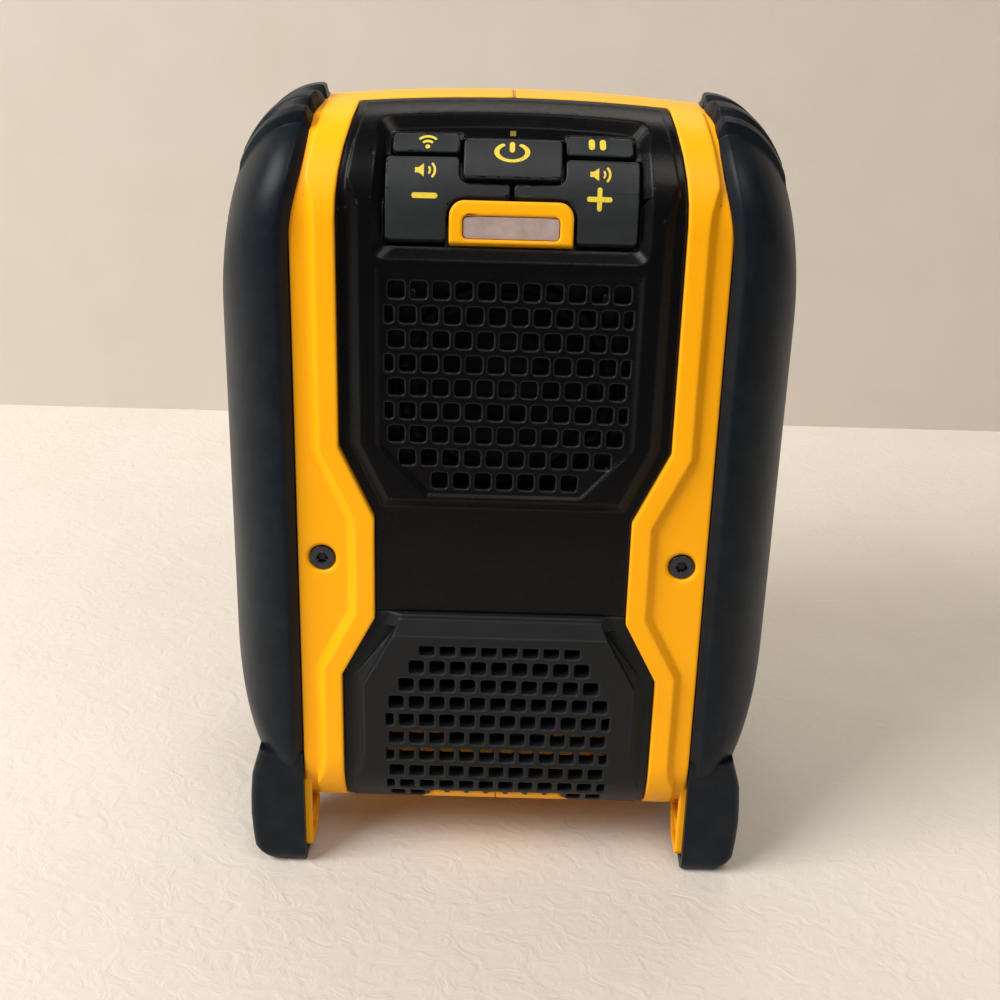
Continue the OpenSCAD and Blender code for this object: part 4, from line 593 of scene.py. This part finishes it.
def bumper_rings():
    """All rings of the right-hand bumper: rim, quarter ellipse and flat face."""
    rings = [bumper_ring(inset, 0, share, rib) for inset, share, rib in RIM_RINGS]
    for turn in np.radians(ROUND_TURNS):
        rib = float(smooth((RIB_END + RIB_END_SOFT - math.degrees(turn)) / RIB_END_SOFT))
        rings.append(bumper_ring(-PROUD, ROUND_SHARE * (1 - math.cos(turn)),
                                 BEVEL_SHARE + (1 - BEVEL_SHARE) * math.sin(turn), rib))
    return rings + [bumper_ring(-PROUD, draw, 1.0, 0) for draw in FACE_DRAWS]


def loft(rings, cap):
    """Quads between closed rings, and a fan to the cap point."""
    count = len(rings[0])
    points = [p for ring in rings for p in ring] + [cap]
    faces = []
    for k in range(len(rings) - 1):
        for j in range(count):
            i = (j + 1) % count
            faces.append((k * count + j, k * count + i, (k + 1) * count + i, (k + 1) * count + j))
    last = (len(rings) - 1) * count
    faces += [(last + j, last + (j + 1) % count, len(points) - 1) for j in range(count)]
    return points, faces


CREASE = math.radians(38)


def make_piece(name, points, faces, material, body="housing", slot=None, side=1, sheet=False):
    """A smooth mesh piece from points in millimetres, mirrored in X where side is -1, riding on a body."""
    mesh = bpy.data.meshes.new(name)
    mesh.from_pydata([(side * p[0] * MM, p[1] * MM, p[2] * MM) for p in points], [], faces)
    if not sheet:
        edit = bmesh.new()
        edit.from_mesh(mesh)
        bmesh.ops.recalc_face_normals(edit, faces=edit.faces)
        for edge in edit.edges:
            edge.smooth = edge.calc_face_angle(0.0) < CREASE
        edit.to_mesh(mesh)
        edit.free()
    mesh.polygons.foreach_set("use_smooth", [True] * len(mesh.polygons))
    mesh.materials.append(material)
    obj = bpy.data.objects.new(name, mesh)
    bpy.context.scene.collection.objects.link(obj)
    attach(obj, body)
    return obj


skin = loft(bumper_rings(), np.array([BUMPER_X, *side_mid]))
for side, word in ((-1, "left"), (1, "right")):
    bumper = make_piece(word + "_bumper_skin", *skin, bumper_tpe, slot="soft_tpe", side=side)
    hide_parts(word + "_bumper")
print("bumper skin faces:", len(skin[1]))

# %% [markdown]
# ## Feet
# Each bumper runs down into two wedge-shaped feet that cover the yellow cores of the shell like a boot. A
# foot is lofted from level slices, each a band that starts at the inner edge, turns the rounded front and
# rear corners and comes back, and the open inner side is closed by giving the band its real thickness.

# %% Feet
FOOT = {"width": 15.0, "top": 36.0, "toe": 5.0, "sole": 12.0, "length": 37.0, "slope_top": 25.0, "skin": 2.7}
FOOT_CORNER = 2.6
CORNER_STEPS = 7
INNER_SHARE = 0.4
OUTER_SHARES = (0.3, 0.5, 0.7)
SOLE_ROUND = 0.9
SLICE_STEP = 1.7
RIM_MM = 0.5
RIM_ANGLE = math.radians(50)
foot_y = y_front + 1.5
OUTER_Z = [0, 5, 10, 16, 22, 28, 36]
OUTER_DROP = [4.5, 0.8, 0.3, 0.0, 0.2, 0.7, 3.0]


def foot_slice(z, inset):
    """Band of one level slice, from the inner front edge round to the inner rear edge."""
    toe = FOOT["toe"]
    drop = toe - math.sqrt(toe ** 2 - (toe - z) ** 2) if z < toe else 0
    y0 = foot_y + drop + inset
    climb = min(1, z / FOOT["slope_top"])
    y1 = foot_y + toe + FOOT["sole"] + climb * (FOOT["length"] - toe - FOOT["sole"]) - inset
    x0 = HALF_SHELL + SEAT_GAP
    x1 = HALF_SHELL + FOOT["width"] - np.interp(z, OUTER_Z, OUTER_DROP) - inset
    r = FOOT_CORNER
    turns = np.radians(np.linspace(0, 90, CORNER_STEPS))
    x_in = x0 + INNER_SHARE * (x1 - r - x0)
    front = [(x1 - r + r * math.sin(a), y0 + r - r * math.cos(a)) for a in turns]
    rear = [(x1 - r + r * math.cos(a), y1 - r + r * math.sin(a)) for a in turns]
    path = [(x0, y0), (x_in, y0), *front]
    path += [(x1, y0 + (y1 - y0) * s) for s in OUTER_SHARES]
    path += [*rear, (x_in, y1), (x0, y1)]
    return [(x, y, z) for x, y in path]


def foot_band():
    """The open band of a front foot, with its sole, from level slices."""
    levels = [(0.0, SOLE_ROUND), (0.12, 0.5 * SOLE_ROUND), (0.4, 0.15 * SOLE_ROUND), (SOLE_ROUND, 0.0)]
    levels += [(z, 0.0) for z in np.arange(2.0, FOOT["top"] + 0.1, SLICE_STEP)]
    bands = [foot_slice(float(z), inset) for z, inset in levels]
    count = len(bands[0])
    points = [p for band in bands for p in band]
    faces = [tuple(range(count))]
    for k in range(len(bands) - 1):
        for j in range(count - 1):
            a = k * count + j
            faces.append((a, a + 1, a + count + 1, a + count))
    return points, faces


def mirrored_y(points):
    """The same points at the other end of the speaker."""
    return [(x, y_front + y_rear - y, z) for x, y, z in points]


band_points, band_faces = foot_band()
for side, word in ((-1, "left"), (1, "right")):
    for end, points in (("front", band_points), ("rear", mirrored_y(band_points))):
        foot = make_piece(word + "_" + end + "_foot", points, band_faces, bumper_tpe, slot="soft_tpe", side=side)
        boot = foot.modifiers.new("boot_thickness", "SOLIDIFY")
        boot.thickness = FOOT["skin"] * MM
        boot.offset = -1
        rim = foot.modifiers.new("soft_rim", "BEVEL")
        rim.width = RIM_MM * MM
        rim.segments = BEVEL_STEPS
        rim.limit_method = "ANGLE"
        rim.angle_limit = RIM_ANGLE
        foot.modifiers.new("weighted_normals", "WEIGHTED_NORMAL")
print("foot faces:", len(band_faces))

# %% [markdown]
# ## Key signs
# The signs are printed after moulding, so the film lies on the curved key faces. A picture laid over the
# keys would do, but then it would blur close up. Here each sign is a thin sheet: strokes are drawn as
# ribbons on the flat key plane, and every point is dropped along the plane's normal on to the key under it.
# The signs are the general ones for power, pause, wireless, sound, less and more.

# %% Key signs
KEY_TILT = math.radians(30)
KEY_Z = roof_top - 33.2
FILM_MM = 0.05
RAY_MM = 30
STROKE_STEP = 0.35
NUDGE = 0.01
ARC_STEPS = 40
key_up = Vector((0, math.sin(KEY_TILT), math.cos(KEY_TILT)))
key_out = Vector((0, -math.cos(KEY_TILT), math.sin(KEY_TILT)))


def drop_on(node, flat):
    """Points of the key plane, in millimetres, dropped on to a solid and lifted by the film."""
    mesh = nodes[node].data
    world = nodes[node].matrix_world
    tree = BVHTree.FromPolygons([world @ v.co for v in mesh.vertices],
                                [tuple(f.vertices) for f in mesh.polygons])
    points = []
    for u, v in flat:
        start = (Vector((u, y_front, KEY_Z)) + key_up * v + key_out * RAY_MM) * MM
        hit = tree.ray_cast(start, -key_out)[0]
        points.append(hit / MM + key_out * FILM_MM)
    return points


def ribbon(path, width):
    """Quads along a path on the key plane, with round ends that lie within its length."""
    path = np.array(path, float)
    length = np.concatenate([[0], np.cumsum(np.linalg.norm(np.diff(path, axis=0), axis=1))])
    half = width / 2
    end = half * (1 - np.cos(np.radians(np.linspace(8, 90, 6))))
    middle = np.linspace(half, length[-1] - half, max(3, round(length[-1] / STROKE_STEP)))
    s = np.concatenate([end[:-1], middle, length[-1] - end[-2::-1]])
    centre = np.column_stack([np.interp(s, length, path[:, k]) for k in (0, 1)])
    ahead = np.column_stack([np.interp(s + NUDGE, length, path[:, k]) - np.interp(s - NUDGE, length, path[:, k])
                             for k in (0, 1)])
    ahead /= np.linalg.norm(ahead, axis=1)[:, None]
    across = np.column_stack([-ahead[:, 1], ahead[:, 0]])
    reach = np.minimum(np.minimum(s, length[-1] - s), half)
    wide = np.sqrt(half ** 2 - (half - reach) ** 2)[:, None]
    points = np.concatenate([centre + across * wide, centre - across * wide])
    n = len(s)
    return points, [(k, k + n, k + n + 1, k + 1) for k in range(n - 1)]


def arc(centre, radius, start, end):
    """Points on an arc of the key plane."""
    turn = np.radians(np.linspace(start, end, ARC_STEPS))
    return np.column_stack([centre[0] + radius * np.cos(turn), centre[1] + radius * np.sin(turn)])


def flattened(stroke, level, share):
    """A stroke pressed towards a level line, with its width."""
    points, quads = stroke
    return np.column_stack([points[:, 0], level + share * (points[:, 1] - level)]), quads


QUAD = (0, 1, 2, 3)


def speaker_sign(u, v):
    """A small loudspeaker: magnet, horn and two waves."""
    block = np.array([(u - 2.3, v - 0.6), (u - 1.5, v - 0.6), (u - 1.5, v + 0.6), (u - 2.3, v + 0.6)])
    horn = np.array([(u - 1.5, v - 0.6), (u - 0.3, v - 1.5), (u - 0.3, v + 1.5), (u - 1.5, v + 0.6)])
    waves = [ribbon(arc((u, v), 1.1, -48, 48), 0.5), ribbon(arc((u, v), 2.2, -48, 48), 0.55)]
    return [(block, [QUAD]), (horn, [QUAD]), *waves]


SIGNS = [
    ("power", [flattened(ribbon(arc((-0.25, 22.7), 3.5, 118, 422), 1.15), 22.7, 0.6),
               ribbon([(-0.25, 25.2), (-0.25, 22.6)], 1.2)]),
    ("pause", [ribbon([(17.8, 24.1), (17.7, 26.8)], 1.4), ribbon([(20.3, 24.1), (20.2, 26.8)], 1.4)]),
    ("pairing", [ribbon([(-19.95, 23.9), (-18.85, 23.9)], 1.0), ribbon(arc((-19.4, 23.7), 1.6, 45, 135), 0.6),
                 ribbon(arc((-19.4, 23.7), 2.8, 45, 135), 0.6)]),
    ("volume_down", speaker_sign(-19.8, 18.3) + [ribbon([(-22.8, 12.7), (-16.9, 12.7)], 1.2)]),
    ("volume_up", speaker_sign(19.8, 18.3) + [ribbon([(16.9, 12.8), (22.7, 12.8)], 1.1),
                                              ribbon([(19.8, 10.3), (19.8, 15.4)], 1.1)]),
]
for key, strokes in SIGNS:
    flat, faces = [], []
    for points, quads in strokes:
        faces += [tuple(len(flat) + k for k in quad) for quad in quads]
        flat += [tuple(point) for point in points]
    make_piece(key + "_sign", drop_on(key + "_button", flat), faces, sign_ink, body=key + "_key",
               slot="key_rubber", sheet=True)
# The tick above the power key is given a dull, dark yellow: painted shade for the corner it lies in, and some dust.
tick_shaded_abs = moulded_abs("shaded_dusty_yellow_abs", "#8f7832", "#6f5a1c", "#3a2c0c", "#a89050",
                       0.5, 0.05, 0.3, 0.3, 0.1, 0.3)
tick = [(-0.8, 27.6), (0.5, 27.6), (0.5, 29.0), (-0.8, 29.0)]
make_piece("power_tick", drop_on("front_panel", tick), [QUAD], tick_shaded_abs, slot="yellow_abs", sheet=True)
print("signs:", [key for key, _ in SIGNS])

# %% [markdown]
# ## Floor, backdrop and light
# A pale table top runs back under a pale wall, and one large soft lamp stands to the left, as a window would,
# so the shadow falls softly to the right, where a weaker lamp lifts it. The table ends in front, because the glossy
# front mirrors what lies there: a dim room keeps the black plastic black. A third lamp behind brings up the
# roof and the back. The wall is a one-sided screen that throws no shadow, so the speaker can also be seen and
# lit from behind.

# %% Stage
WALL_Y = 297 * MM
WALL_H = 600 * MM
TABLE_Y = -300 * MM
STAGE_W = 1.6


def stage_material(name, colour, deep, weave_mm, relief_mm):
    """A dull, faintly cloudy surface with a weave or brush marks of its own size."""
    material, tree, shader, place = start_material(name, 0.85)
    cloth = add(tree, "ShaderNodeTexNoise", {"Vector": place, "Scale": per_mm(30), "Detail": 4.0})
    mix = add(tree, "ShaderNodeMix", {0: cloth.outputs["Fac"], 6: linear(colour), 7: linear(deep)},
              data_type="RGBA")
    tree.links.new(mix.outputs[2], shader.inputs["Base Color"])
    shader.inputs["Specular IOR Level"].default_value = 0.2
    weave = add(tree, "ShaderNodeTexNoise",
                {"Vector": place, "Scale": per_mm(weave_mm), "Detail": 4.0, "Distortion": 1.5})
    relief = add(tree, "ShaderNodeBump",
                 {"Height": weave.outputs["Fac"], "Strength": 0.5, "Distance": relief_mm * MM})
    tree.links.new(relief.outputs["Normal"], shader.inputs["Normal"])
    return material


floor_paint = stage_material("pale_table_cloth", "#d2cdc6", "#cbc5bc", 7.0, 0.9)
wall_paint = stage_material("pale_painted_wall", "#c9c3ba", "#c2bbb1", 2.5, 0.15)
tree = wall_paint.node_tree
from_behind = add(tree, "ShaderNodeNewGeometry").outputs["Backfacing"]
one_sided = add(tree, "ShaderNodeMixShader", {0: from_behind, 1: tree.nodes["Principled BSDF"].outputs["BSDF"],
                                              2: add(tree, "ShaderNodeBsdfTransparent").outputs["BSDF"]})
tree.links.new(one_sided.outputs["Shader"], tree.nodes["Material Output"].inputs["Surface"])


def stage_plane(name, corners, material):
    """One flat sheet of the stage, from its corners in metres."""
    mesh = bpy.data.meshes.new(name)
    mesh.from_pydata(corners, [], [QUAD])
    mesh.materials.append(material)
    obj = bpy.data.objects.new(name, mesh)
    bpy.context.scene.collection.objects.link(obj)
    return obj


stage_plane("floor", [(-STAGE_W, TABLE_Y, 0), (STAGE_W, TABLE_Y, 0), (STAGE_W, STAGE_W, 0),
                      (-STAGE_W, STAGE_W, 0)], floor_paint)
wall = stage_plane("backdrop", [(-STAGE_W, WALL_Y, 0), (STAGE_W, WALL_Y, 0), (STAGE_W, WALL_Y, WALL_H),
                                (-STAGE_W, WALL_Y, WALL_H)], wall_paint)
wall.visible_shadow = False


def area_lamp(name, place, aim_at, size, watts, colour):
    """A soft rectangular lamp at a place, turned to the point it lights. Lengths are in metres."""
    lamp = bpy.data.lights.new(name, "AREA")
    lamp.shape = "RECTANGLE"
    lamp.size, lamp.size_y = size
    lamp.energy = watts
    lamp.color = linear(colour)[:3]
    obj = bpy.data.objects.new(name, lamp)
    obj.location = place
    obj.rotation_euler = (Vector(aim_at) - Vector(place)).to_track_quat("-Z", "Y").to_euler()
    bpy.context.scene.collection.objects.link(obj)


area_lamp("window_light", (-1.0, -0.65, 1.0), (0, 0, 0.09), (0.9, 0.8), 30, "#fffaf5")
area_lamp("room_light", (0.4, -0.9, 1.3), (0, 0, 0.09), (0.8, 0.6), 8, "#fff4e8")
area_lamp("rear_light", (0.1, 0.9, 1.1), (0, 0, 0.1), (0.9, 0.8), 9, "#fff8ee")

scene = bpy.context.scene
scene.view_settings.view_transform = "Standard"
world = bpy.data.worlds.new("room")
scene.world = world
world.use_nodes = True
sky = world.node_tree.nodes["Background"]
sky.inputs["Color"].default_value = linear("#f4efe8")
sky.inputs["Strength"].default_value = 0.16
